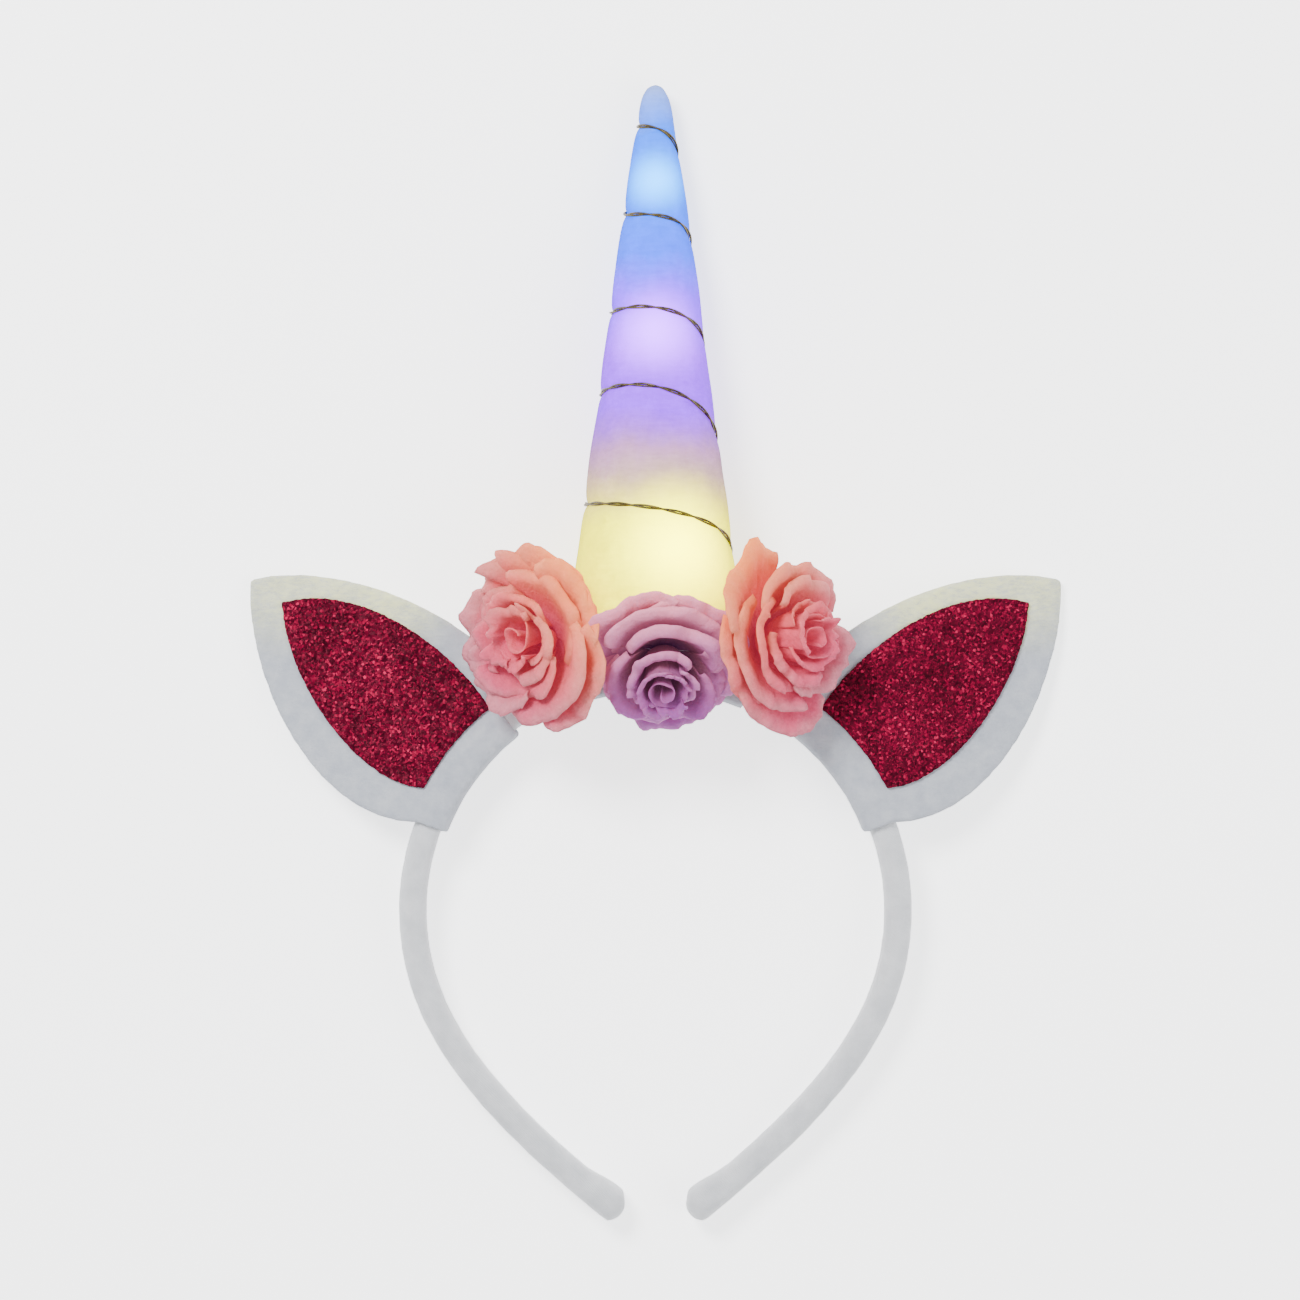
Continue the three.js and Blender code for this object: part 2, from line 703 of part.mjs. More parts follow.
// Stands the object on the floor with the middle of its box over the origin
function laidDown(object) {
  const lying = new THREE.Group();
  lying.add(object);
  lying.updateMatrixWorld(true);
  const box = new THREE.Box3().setFromObject(lying, true);
  const middle = box.getCenter(new THREE.Vector3());
  lying.position.set(-middle.x, -middle.y, -box.min.z);
  return lying;
}

export default laidDown(headband());
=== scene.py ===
"""Unicorn horn headband lying on its back: surfaces, materials, light and camera round the frame."""
import math
import random

import bmesh
import bpy
from mathutils import Matrix, Vector, noise


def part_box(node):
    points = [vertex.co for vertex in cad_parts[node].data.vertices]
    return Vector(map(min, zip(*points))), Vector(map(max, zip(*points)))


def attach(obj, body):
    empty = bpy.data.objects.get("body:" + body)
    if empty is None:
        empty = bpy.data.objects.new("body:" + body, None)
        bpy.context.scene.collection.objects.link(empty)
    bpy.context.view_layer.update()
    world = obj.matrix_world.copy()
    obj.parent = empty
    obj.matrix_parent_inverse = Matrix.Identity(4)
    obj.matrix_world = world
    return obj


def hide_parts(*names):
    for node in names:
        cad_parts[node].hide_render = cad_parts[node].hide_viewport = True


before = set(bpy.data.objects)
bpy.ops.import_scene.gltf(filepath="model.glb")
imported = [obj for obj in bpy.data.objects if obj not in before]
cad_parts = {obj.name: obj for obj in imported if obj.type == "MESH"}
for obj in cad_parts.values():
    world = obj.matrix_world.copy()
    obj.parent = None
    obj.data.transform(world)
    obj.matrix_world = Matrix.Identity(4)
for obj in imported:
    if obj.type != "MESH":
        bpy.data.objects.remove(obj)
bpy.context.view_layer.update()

MM = 0.001
UP = Vector((0, 0, 1))

# Photograph: its side in pixels, the size of a pixel, and the pixel over the middle of the object
PHOTO_SIDE = 1300
PIXEL = 0.2734 * MM
OBJECT_PIXEL = (655.5, 652.5)
CAMERA_HEIGHT = 1600 * MM
CAMERA_REACH = 20
FOCUS_HEIGHT = 12 * MM
SENSOR = 36

# Band, in the headband's own frame: the middle of its arc is the origin
BAND_RADIUS = 66.4 * MM
BAND_THICKNESS = 7.6 * MM
BAND_DEPTH = 10 * MM
BAND_TILT = math.radians(2.4)
LEG_DROP = 80.5 * MM
LEG_END_SPREAD = 13 * MM
LEG_TOP_HANDLE = 27 * MM
LEG_END_HANDLE = 49.5 * MM
LEG_END_ANGLE = math.radians(39)
END_SWELL = 0.22
END_SWELL_LENGTH = 13 * MM
END_LEAN = 3.2 * MM
ARC_FACETS = 25

# Corners of the band's section in CAD that reach the back and the top of its box, as shares of its
# half thickness and half depth
BACK_CORNER = (1, -0.42)
TOP_CORNER = (0.35, 1)

# Horn and its cord
HORN_LENGTH = 152.4 * MM
HORN_RADIUS = 22.5 * MM
HORN_LEAN = math.radians(9.15)
HORN_SEAT_RISE = 5.4 * MM
HORN_FORWARD = 11.2 * MM
FIT_GAP = 0.3 * MM
THREAD_DIAMETER = 1.1 * MM
GROOVE_DEPTH = 1.5 * MM
SKIN_DIP = 1.05 * MM
PLAIN_ENDS = 0.02
HORN_PROFILE = [
    (0, 0.96),
    (0.025, 1),
    (0.18, 0.91),
    (0.45, 0.665),
    (0.6, 0.54),
    (0.77, 0.385),
    (0.925, 0.226),
    (0.965, 0.178),
    (0.985, 0.132),
    (0.996, 0.07),
    (1, 0),
]
THREAD_PATH = [
    (-1.5, 1.16),
    (-1, 1.08),
    (-0.5, 0.985),
    (0, 0.924),
    (0.5, 0.88),
    (1, 0.763),
    (1.5, 0.718),
    (2, 0.583),
    (2.5, 0.533),
    (3, 0.436),
    (3.5, 0.362),
    (4, 0.237),
    (4.5, 0.16),
    (5, 0.045),
    (5.5, -0.03),
    (6, -0.12),
    (6.5, -0.2),
]
THREAD_ARCH = [
    (0.5, 0.25),
    (1, 0.17),
    (1.5, 0.17),
    (2, 0.28),
    (2.5, 0.28),
    (3, 0.31),
    (3.5, 0.31),
    (4, 0.13),
    (4.5, 0.13),
    (5, 0.25),
]
PUFF_ROWS = [
    (0, 0),
    (0.05, 0.62),
    (0.13, 0.92),
    (0.32, 1.1),
    (0.54, 1.14),
    (0.74, 1.08),
    (0.87, 0.92),
    (0.95, 0.62),
    (1, 0),
]
HORN_SIDES = 96
HORN_ROWS_PER_TURN = 24
SKIN_FIRST_TURN = -2
SKIN_LAST_TURN = 6
THREAD_START = -0.3
THREAD_END = 4.8

# Roses: size is a share of ROSE_RADIUS, side and rise from the crown are shares of BAND_RADIUS and
# forward is a share of BAND_DEPTH; yaw, pitch and turn in degrees. Heart says how far the inner petals
# stand out of the outer ones, spread how long the petals are for the rose's size, and crest and
# sideways how much longer those at the top and on the right are
ROSE_RADIUS = 26 * MM
OUTER_HEIGHT = 0.42
ROSES = {
    "rose_left": {
        "size": 1, "side": -0.434, "rise": 0.145, "forward": 1.44, "yaw": -38, "pitch": 0,
        "turn": 20, "heart": 0.6, "spread": 1.0, "crest": 0.05, "sideways": 0.13,
        "slot": "pink_petal", "seed": 11,
    },
    "rose_center": {
        "size": 0.83, "side": 0.034, "rise": 0.08, "forward": 2.1, "yaw": 0, "pitch": 35,
        "turn": 55, "heart": 1.6, "spread": 1.0, "crest": 0.42, "sideways": 0.03,
        "slot": "lilac_petal", "seed": 5,
    },
    "rose_right": {
        "size": 0.95, "side": 0.437, "rise": 0.136, "forward": 1.7, "yaw": 47, "pitch": 0,
        "turn": 50, "heart": 1.4, "spread": 0.98, "crest": 0.06, "sideways": -0.24,
        "slot": "pink_petal", "seed": 23,
    },
}


def worn_matrix():
    """Headband's own frame in the row's frame, placed by the band's node."""
    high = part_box("band")[1]
    tilt = Matrix.Rotation(BAND_TILT, 4, "X")
    chord = math.cos(math.pi / (2 * ARC_FACETS))

    def corner(out, fore):
        return tilt @ Vector((0, (BAND_RADIUS + out * BAND_THICKNESS / 2) * chord, fore * BAND_DEPTH / 2))

    back = corner(*BACK_CORNER)
    top = corner(*TOP_CORNER)
    return Matrix.Translation((0, high.y - back.y, high.z - top.z)) @ tilt


def smooth_table(rows, x):
    """Value at x on a smooth curve through the table's rows."""
    if x <= rows[0][0]:
        return rows[0][1]
    if x >= rows[-1][0]:
        return rows[-1][1]
    last = len(rows) - 1
    i = max(k for k in range(last) if rows[k][0] <= x)
    span = rows[i + 1][0] - rows[i][0]

    def chord(a):
        return (rows[a + 1][1] - rows[a][1]) / (rows[a + 1][0] - rows[a][0])

    def slope(a):
        if a == 0:
            return chord(0)
        if a == last:
            return chord(last - 1)
        return (chord(a - 1) + chord(a)) / 2

    t = (x - rows[i][0]) / span
    start = (2 * t**3 - 3 * t**2 + 1) * rows[i][1] + (t**3 - 2 * t**2 + t) * span * slope(i)
    end = (3 * t**2 - 2 * t**3) * rows[i + 1][1] + (t**3 - t**2) * span * slope(i + 1)
    return start + end


def smoothstep(x):
    x = min(1.0, max(0.0, x))
    return x * x * (3 - 2 * x)


WORN = worn_matrix()

# Points closer than this are one point
WELD = 0.002 * MM


def make_object(name, points, faces, matrix=None):
    mesh = bpy.data.meshes.new(name)
    mesh.from_pydata([tuple(p) for p in points], [], faces)
    if matrix is not None:
        mesh.transform(matrix)
    mesh.validate()
    for polygon in mesh.polygons:
        polygon.use_smooth = True
    piece = bpy.data.objects.new(name, mesh)
    bpy.context.collection.objects.link(piece)
    return piece


def add_piece(piece, slot, look, *nodes):
    """Gives a piece its material and lets it stand for its CAD nodes."""
    piece.data.materials.clear()
    piece.data.materials.append(look)
    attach(piece, "root")
    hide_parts(*nodes)
    return piece


def apply_modifiers(piece):
    graph = bpy.context.evaluated_depsgraph_get()
    mesh = bpy.data.meshes.new_from_object(piece.evaluated_get(graph))
    piece.modifiers.clear()
    piece.data = mesh
    for polygon in mesh.polygons:
        polygon.use_smooth = True


def recalculate(piece):
    """Turns the faces of a closed mesh outward."""
    shape = bmesh.new()
    shape.from_mesh(piece.data)
    bmesh.ops.remove_doubles(shape, verts=shape.verts, dist=WELD / 2)
    bmesh.ops.recalc_face_normals(shape, faces=shape.faces)
    shape.to_mesh(piece.data)
    shape.free()


def ring_skin(rings):
    """Points and faces of a closed skin over rings of points."""
    sides = len(rings[0])
    points = [p for ring in rings for p in ring]
    faces = []
    for r in range(len(rings) - 1):
        for s in range(sides):
            n = (s + 1) % sides
            faces.append((r * sides + s, r * sides + n, (r + 1) * sides + n, (r + 1) * sides + s))
    last = (len(rings) - 1) * sides
    faces.append(tuple(reversed(range(sides))))
    faces.append(tuple(last + s for s in range(sides)))
    return points, faces


# Node helpers for materials


class Look:
    """A material with a Principled shader and short calls for the nodes in front of it."""

    def __init__(self, name):
        self.material = bpy.data.materials.new(name)
        self.material.use_nodes = True
        self.tree = self.material.node_tree
        self.shader = self.tree.nodes["Principled BSDF"]
        self.place = self.node("ShaderNodeTexCoord").outputs["Object"]

    def node(self, kind, **settings):
        node = self.tree.nodes.new(kind)
        for key, value in settings.items():
            setattr(node, key, value)
        return node

    def link(self, source, target):
        self.tree.links.new(source, target)

    def value(self, socket, number):
        self.shader.inputs[socket].default_value = number

    def noise(self, scale, detail=3.0, rough=0.5, place=None):
        node = self.node("ShaderNodeTexNoise")
        node.inputs["Scale"].default_value = scale
        node.inputs["Detail"].default_value = detail
        node.inputs["Roughness"].default_value = rough
        self.link(place or self.place, node.inputs["Vector"])
        return node.outputs["Fac"]

    def stretched(self, scale):
        node = self.node("ShaderNodeMapping")
        node.inputs["Scale"].default_value = scale
        self.link(self.place, node.inputs["Vector"])
        return node.outputs["Vector"]

    def math(self, operation, a, b=0.5, c=0.0, clamp=False):
        node = self.node("ShaderNodeMath", operation=operation, use_clamp=clamp)
        for socket, source in zip(node.inputs, (a, b, c)):
            if isinstance(source, (int, float)):
                socket.default_value = source
            else:
                self.link(source, socket)
        return node.outputs[0]

    def ramp(self, factor, stops, interpolation="LINEAR"):
        node = self.node("ShaderNodeValToRGB")
        ramp = node.color_ramp
        ramp.interpolation = interpolation
        while len(ramp.elements) < len(stops):
            ramp.elements.new(0.5)
        for element, (at, color) in zip(ramp.elements, stops):
            element.position = at
            element.color = (*color, 1)
        self.link(factor, node.inputs["Fac"])
        return node.outputs["Color"]

    def mix(self, factor, a, b, blend="MIX"):
        node = self.node("ShaderNodeMix", data_type="RGBA", blend_type=blend)
        for socket, source in zip((node.inputs[0], node.inputs[6], node.inputs[7]), (factor, a, b)):
            if isinstance(source, (int, float)):
                socket.default_value = source
            elif isinstance(source, tuple):
                socket.default_value = (*source, 1)
            else:
                self.link(source, socket)
        return node.outputs[2]

    def separate(self, vector):
        node = self.node("ShaderNodeSeparateXYZ")
        self.link(vector, node.inputs[0])
        return node.outputs

    def bump(self, height, distance, strength=1.0):
        node = self.node("ShaderNodeBump")
        node.inputs["Distance"].default_value = distance
        node.inputs["Strength"].default_value = strength
        self.link(height, node.inputs["Height"])
        return node.outputs["Normal"]

    def near(self, point, reach):
        """1 at a point, falling smoothly to 0 at reach from it."""
        node = self.node("ShaderNodeVectorMath", operation="DISTANCE")
        self.link(self.place, node.inputs[0])
        node.inputs[1].default_value = point
        fall = self.node("ShaderNodeMapRange", interpolation_type="SMOOTHSTEP")
        self.link(node.outputs["Value"], fall.inputs["Value"])
        fall.inputs["From Min"].default_value = reach
        fall.inputs["From Max"].default_value = 0
        return fall.outputs["Result"]


def horn_place(along, angle=0.0, share=0.0):
    """Point in the row's frame at a share of the horn's length and of its radius."""
    radius = horn_radius(along) * share
    point = Vector((radius * math.sin(angle), along * HORN_LENGTH, radius * math.cos(angle)))
    return WORN @ (horn_matrix() @ point)


# Colours are scene-linear; a table of tones gives a colour at each noise level from 0 to 1
BAND_TONES = [(0.3, (0.43, 0.44, 0.46)), (0.7, (0.53, 0.535, 0.55))]
BAND_RIBS = 900
BAND_RIB_SHARE = 0.7
BAND_WEAVE_HEIGHT = 0.12 * MM


def band_look():
    look = Look("band_fabric")
    weave = look.noise(2600, 2, 0.6)
    wave = look.node("ShaderNodeTexWave", wave_type="BANDS", bands_direction="DIAGONAL")
    wave.inputs["Scale"].default_value = BAND_RIBS
    wave.inputs["Distortion"].default_value = 3
    wave.inputs["Detail"].default_value = 2
    look.link(look.place, wave.inputs["Vector"])
    look.link(look.ramp(look.noise(160, 4, 0.6), BAND_TONES), look.shader.inputs["Base Color"])
    height = look.math("ADD", weave, look.math("MULTIPLY", wave.outputs["Fac"], BAND_RIB_SHARE))
    look.link(look.bump(height, BAND_WEAVE_HEIGHT, 0.8), look.shader.inputs["Normal"])
    look.value("Roughness", 0.6)
    look.value("Specular IOR Level", 0.35)
    look.value("Sheen Weight", 0.15)
    look.value("Sheen Roughness", 0.4)
    return look.material


FELT_TONES = [(0.25, (0.27, 0.29, 0.335)), (0.75, (0.39, 0.405, 0.435))]
FELT_STREAKS = [(0.35, (0.4, 0.4, 0.4)), (0.65, (1, 1, 1))]
FELT_HEIGHT = 0.3 * MM

# Light of the horn on the top edges of the ears: middles of the lit stretches, on both sides, and
# their reach
EAR_GLOW = (1.25, 1.25, 0.0)
EAR_GLOW_REACH = 25 * MM
EAR_GLOW_HEIGHT = 14 * MM
EAR_GLOW_STRETCHES = [(104 * MM, 20 * MM), (90 * MM, 22 * MM), (74 * MM, 19 * MM)]


def felt_look():
    look = Look("white_felt")
    fibres = look.noise(1400, 6, 0.75)
    strands = look.noise(420, 5, 0.7, look.stretched((1, 2.4, 1)))
    look.link(look.ramp(look.noise(240, 5, 0.7), FELT_TONES), look.shader.inputs["Base Color"])
    glow = 0.0
    for side in (-1, 1):
        for across, up in EAR_GLOW_STRETCHES:
            place = (side * across, up, EAR_GLOW_HEIGHT)
            glow = look.math("MAXIMUM", glow, look.near(place, EAR_GLOW_REACH))
    streaks = look.math("MULTIPLY", glow, look.ramp(strands, FELT_STREAKS))
    look.link(streaks, look.shader.inputs["Emission Strength"])
    look.shader.inputs["Emission Color"].default_value = (*EAR_GLOW, 1)
    height = look.math("ADD", look.math("MULTIPLY", fibres, 0.6), strands)
    look.link(look.bump(height, FELT_HEIGHT, 0.9), look.shader.inputs["Normal"])
    look.value("Roughness", 0.95)
    look.value("Specular IOR Level", 0.2)
    look.value("Sheen Weight", 0.12)
    look.value("Sheen Roughness", 0.6)
    return look.material


# Glitter: flakes a metre, the colours of their tones, whose brightest flakes are painted glints, the thin
# bright lines between some of them, which are painted glints on the metallic strands, darker and lighter
# patches, and how far a flake leans out of the surface
FLAKES = 1650
FLAKE_TONES_AND_GLINTS = [
    (0.0, (0.028, 0.0005, 0.005)),
    (0.45, (0.056, 0.001, 0.009)),
    (0.8, (0.095, 0.001, 0.013)),
    (0.93, (0.24, 0.002, 0.028)),
    (1.0, (0.46, 0.014, 0.065)),
]
GLINT_LINES = 1050
GLINT_LINE_EDGE = [(0.0, (1, 1, 1)), (0.035, (0, 0, 0))]
GLINT_LINE_COLOR = (0.34, 0.008, 0.045)
GLINT_LINE_SHARE = 0.7
PLAIN_FLAKES = 0.45
GLITTER_PATCHES = [(0.3, (0.6, 0.55, 0.6)), (0.7, (1.25, 1.25, 1.25))]
FLAKE_LEAN = 0.6


def glitter_look():
    look = Look("crimson_glitter")
    flakes = look.node("ShaderNodeTexVoronoi", feature="F1")
    flakes.inputs["Scale"].default_value = FLAKES
    look.link(look.place, flakes.inputs["Vector"])
    cell = look.separate(flakes.outputs["Color"])
    # The brightest flake tones and the bright lines are painted glints of the metal in the glitter.
    base = look.ramp(cell[0], FLAKE_TONES_AND_GLINTS)
    ridge = look.math("ABSOLUTE", look.math("SUBTRACT", look.noise(GLINT_LINES, 2, 0.5), 0.5))
    line = look.ramp(ridge, GLINT_LINE_EDGE)
    line = look.math("MULTIPLY", line, look.math("GREATER_THAN", cell[1], PLAIN_FLAKES))
    lit = look.mix(look.math("MULTIPLY", line, GLINT_LINE_SHARE), base, GLINT_LINE_COLOR)
    patches = look.ramp(look.noise(70, 3, 0.6), GLITTER_PATCHES)
    look.link(look.mix(1.0, lit, patches, "MULTIPLY"), look.shader.inputs["Base Color"])
    look.link(leaning_normal(look, flakes.outputs["Color"], FLAKE_LEAN), look.shader.inputs["Normal"])
    look.value("Roughness", 0.45)
    look.value("Specular IOR Level", 0.03)
    return look.material


def leaning_normal(look, color, lean):
    """Surface direction with a lean of its own for every glitter flake."""
    centred = look.node("ShaderNodeVectorMath", operation="SUBTRACT")
    look.link(color, centred.inputs[0])
    centred.inputs[1].default_value = (0.5, 0.5, 0.5)
    scaled = look.node("ShaderNodeVectorMath", operation="SCALE")
    look.link(centred.outputs[0], scaled.inputs[0])
    scaled.inputs["Scale"].default_value = lean
    total = look.node("ShaderNodeVectorMath", operation="ADD")
    look.link(look.node("ShaderNodeNewGeometry").outputs["Normal"], total.inputs[0])
    look.link(scaled.outputs[0], total.inputs[1])
    unit = look.node("ShaderNodeVectorMath", operation="NORMALIZE")
    look.link(total.outputs[0], unit.inputs[0])
    return unit.outputs[0]


# Light in the horn: colour at shares of the horn's length, and three small lamps with their place
# round the horn in radians
HORN_TINTS = [
    (0.0, (4.3, 4.2, 0.0)),
    (0.19, (4.4, 4.3, 0.0)),
    (0.24, (2.9, 2.4, 0.55)),
    (0.285, (1.75, 1.1, 1.05)),
    (0.325, (1.5, 0.7, 1.5)),
    (0.36, (1.2, 0.3, 2.8)),
    (0.4, (1.05, 0.04, 4.3)),
    (0.50, (1.2, 0.06, 4.6)),
    (0.60, (0.85, 0.08, 5.2)),
    (0.68, (0.08, 0.4, 4.6)),
    (0.80, (0.0, 0.58, 4.5)),
    (0.91, (0.0, 0.6, 4.2)),
    (1.0, (0.75, 1.15, 2.6)),
]
HORN_LAMPS = [
    {"along": 0.14, "angle": 0.3, "reach": 25 * MM, "color": (9.8, 9.4, 0.0)},
    {"along": 0.535, "angle": 0.0, "reach": 18 * MM, "color": (2.9, 0.5, 8.0)},
    {"along": 0.815, "angle": 0.0, "reach": 13 * MM, "color": (0.0, 2.6, 7.0)},
]
LAMP_DEPTH = 0.9
LAMP_FALL = 1.5

# Shades of the horn's cloth: painted shade on its flanks, darker where the cloth faces away from straight
# up, where it is woven thin, and over the stuffing
HORN_FLANK_SHADE = [(0.0, (0.5, 0.48, 0.5)), (0.35, (0.78, 0.77, 0.8)), (0.8, (1, 1, 1))]
HORN_WEAVE = [(0.3, (0.88, 0.88, 0.88)), (0.7, (1.06, 1.06, 1.06))]
STUFFING_SHADES = [(0.3, (0.84, 0.84, 0.84)), (0.7, (1, 1, 1))]
WEAVE_HEIGHT = 0.12 * MM

# How cloudy the borders between colours are, the shares of a colour that glow from inside and lie on
# the skin, and the brightest channel of the tints, because a ramp holds colours up to 1
CLOUDY = 0.06
LIT_SHARE = 0.62
SKIN_SHARE = 0.13
BRIGHTEST = 10


def share_of_length(look):
    """Share of the horn's length at a point, from base to tip."""
    inverse = (WORN @ horn_matrix()).inverted()
    height = look.node("ShaderNodeVectorMath", operation="DOT_PRODUCT")
    look.link(look.place, height.inputs[0])
    height.inputs[1].default_value = tuple(inverse[1][:3])
    return look.math("MULTIPLY_ADD", height.outputs["Value"], 1 / HORN_LENGTH, inverse[1][3] / HORN_LENGTH)


def horn_color(look):
    """Colour of the horn's cloth, with its cloudy borders, painted shade on its flanks and weave."""
    cloudy = look.math("SUBTRACT", look.noise(70, 4, 0.6), 0.5)
    along = look.math("ADD", share_of_length(look), look.math("MULTIPLY", cloudy, CLOUDY))
    scaled = [(at, tuple(channel / BRIGHTEST for channel in color)) for at, color in HORN_TINTS]
    color = look.mix(1.0, look.ramp(along, scaled), (BRIGHTEST, BRIGHTEST, BRIGHTEST), "MULTIPLY")
    stuffing = look.noise(210, 5, 0.65, look.stretched((1.6, 0.7, 1)))
    # Painted shade: the cloth and its glow are darker where the surface faces sideways or down.
    upward = look.separate(look.node("ShaderNodeNewGeometry").outputs["Normal"])[2]
    woven = look.noise(520, 3, 0.7, look.stretched((0.3, 1.7, 1)))
    for factor, shades in ((stuffing, STUFFING_SHADES), (upward, HORN_FLANK_SHADE), (woven, HORN_WEAVE)):
        color = look.mix(1.0, color, look.ramp(factor, shades), "MULTIPLY")
    return color


def horn_look():
    look = Look("horn_cloth")
    color = horn_color(look)
    skin = look.mix(1.0, color, (SKIN_SHARE, SKIN_SHARE, SKIN_SHARE), "MULTIPLY")
    look.link(skin, look.shader.inputs["Base Color"])
    glow = look.mix(1.0, color, (LIT_SHARE, LIT_SHARE, LIT_SHARE), "MULTIPLY")
    for lamp in HORN_LAMPS:
        place = tuple(horn_place(lamp["along"], lamp["angle"], LAMP_DEPTH))
        spot = look.math("POWER", look.near(place, lamp["reach"]), LAMP_FALL)
        glow = look.mix(spot, glow, lamp["color"])
    look.link(glow, look.shader.inputs["Emission Color"])
    look.value("Emission Strength", 1.0)
    folds = look.math("MULTIPLY", look.noise(330, 4, 0.6), 0.8)
    weave = look.math("ADD", look.noise(2200, 2, 0.5), folds)
    look.link(look.bump(weave, WEAVE_HEIGHT, 0.7), look.shader.inputs["Normal"])
    look.value("Roughness", 0.75)
    look.value("Specular IOR Level", 0.06)
    return look.material


GOLD_TONES = [(0.3, (0.022, 0.016, 0.006)), (0.7, (0.12, 0.09, 0.018))]
GOLD_HEIGHT = 0.05 * MM


def gold_look():
    look = Look("gold_cord")
    look.link(look.ramp(look.noise(700, 2, 0.5), GOLD_TONES), look.shader.inputs["Base Color"])
    look.link(look.bump(look.noise(3000, 2, 0.5), GOLD_HEIGHT, 0.8), look.shader.inputs["Normal"])
    look.value("Metallic", 0.5)
    look.value("Roughness", 0.42)
    return look.material


# Light of the horn that reaches the petals round its base: where it starts, as shares of the horn's
# length and radius, how far it reaches and how strong it is
PETAL_GLOW_FROM = (0.16, 0.6)
PETAL_GLOW_REACH = 62 * MM
PETAL_GLOW_SHARE = 1.3

# Petal cloth: places of the painted shade in the depths, the cloth's own middle colour and the painted
# light at the rims, from base to rim, how much cloudiness and the petal's own tone move them, the shade of
# its threads, and its crumples
DEPTH_SHADE_TO = 0.45
MIDDLE_AT = 0.78
RIM_LIGHT_FROM = 0.97
PETAL_CLOUDY = 0.35
OWN_TONE = 0.22
THREAD_SHADES = [(0.3, (0.8, 0.76, 0.79)), (0.7, (1.05, 1.05, 1.05))]
CRUMPLES = 330
CRUMPLE_SHARE = 2.2
CRUMPLE_HEIGHT = 0.3 * MM
# Share of their colour that the petals glow with: painted light shining through the cloth.
PETAL_SHINE_THROUGH = 0.25


def petal_look(name, depth_shade, middle, rim_light, lit):
    look = Look(name)
    facts = look.separate(look.node("ShaderNodeAttribute", attribute_name="petal").outputs["Vector"])
    cloudy = look.math("MULTIPLY", look.math("SUBTRACT", look.noise(120, 4, 0.6), 0.5), PETAL_CLOUDY)
    own = look.math("MULTIPLY", look.math("SUBTRACT", facts[1], MIDDLE_TONE), OWN_TONE)
    # How open the cloth lies sets the painted shade in the depths and the painted light at the rims.
    openness = look.math("ADD", look.math("ADD", facts[0], cloudy), own)
    stops = [(0.0, depth_shade), (DEPTH_SHADE_TO, depth_shade), (MIDDLE_AT, middle), (RIM_LIGHT_FROM, rim_light), (1.0, rim_light)]
    threads = look.noise(700, 4, 0.75, look.stretched((1, 1, 0.5)))
    color = look.mix(1.0, look.ramp(openness, stops), look.ramp(threads, THREAD_SHADES), "MULTIPLY")
    along, share = PETAL_GLOW_FROM
    glow = look.near(tuple(horn_place(along, 0.0, share)), PETAL_GLOW_REACH)
    glow = look.math("MULTIPLY", look.math("MULTIPLY", glow, facts[0]), PETAL_GLOW_SHARE, clamp=True)
    color = look.mix(glow, color, lit)
    look.link(color, look.shader.inputs["Base Color"])
    look.link(color, look.shader.inputs["Emission Color"])
    look.value("Emission Strength", PETAL_SHINE_THROUGH)
    crumple = look.math("MULTIPLY", look.noise(CRUMPLES, 4, 0.7), CRUMPLE_SHARE)
    crumple = look.math("ADD", look.noise(1100, 4, 0.65), crumple)
    look.link(look.bump(crumple, CRUMPLE_HEIGHT, 0.8), look.shader.inputs["Normal"])
    look.value("Roughness", 0.85)
    look.value("Specular IOR Level", 0.15)
    look.value("Subsurface Weight", 0.1)
    look.value("Subsurface Radius", (0.004, 0.0012, 0.0012))
    look.value("Subsurface Scale", 0.5)
    return look.material


# Band

ARC_STEPS = 96
LEG_STEPS = 64
CAP_STEPS = 7
CAP_TURN = math.radians(86)

# Rounding of the band's section: powers outside, against the head, and from front to back
SECTION_SIDES = 28
OUTER_POWER = 0.78
HEAD_POWER = 0.5
FORE_POWER = 0.72

# Unevenness of the padded cover: height, and how often it repeats
BAND_CREEP = [(0.12 * MM, 260), (0.07 * MM, 800)]


def leg_curve(side, t):
    """Point and direction on a leg, from its top at 0 to its end at 1."""
    handle = Vector((side * math.cos(LEG_END_ANGLE), math.sin(LEG_END_ANGLE), 0)) * LEG_END_HANDLE
    a = Vector((side * BAND_RADIUS, 0, 0))
    b = Vector((side * BAND_RADIUS, -LEG_TOP_HANDLE, 0))
    d = Vector((side * LEG_END_SPREAD, -LEG_DROP, 0))
    c = d + handle
    s = 1 - t
    point = a * s**3 + b * 3 * s * s * t + c * 3 * s * t * t + d * t**3
    along = (b - a) * 3 * s * s + (c - b) * 6 * s * t + (d - c) * 3 * t * t
    return point, along.normalized()


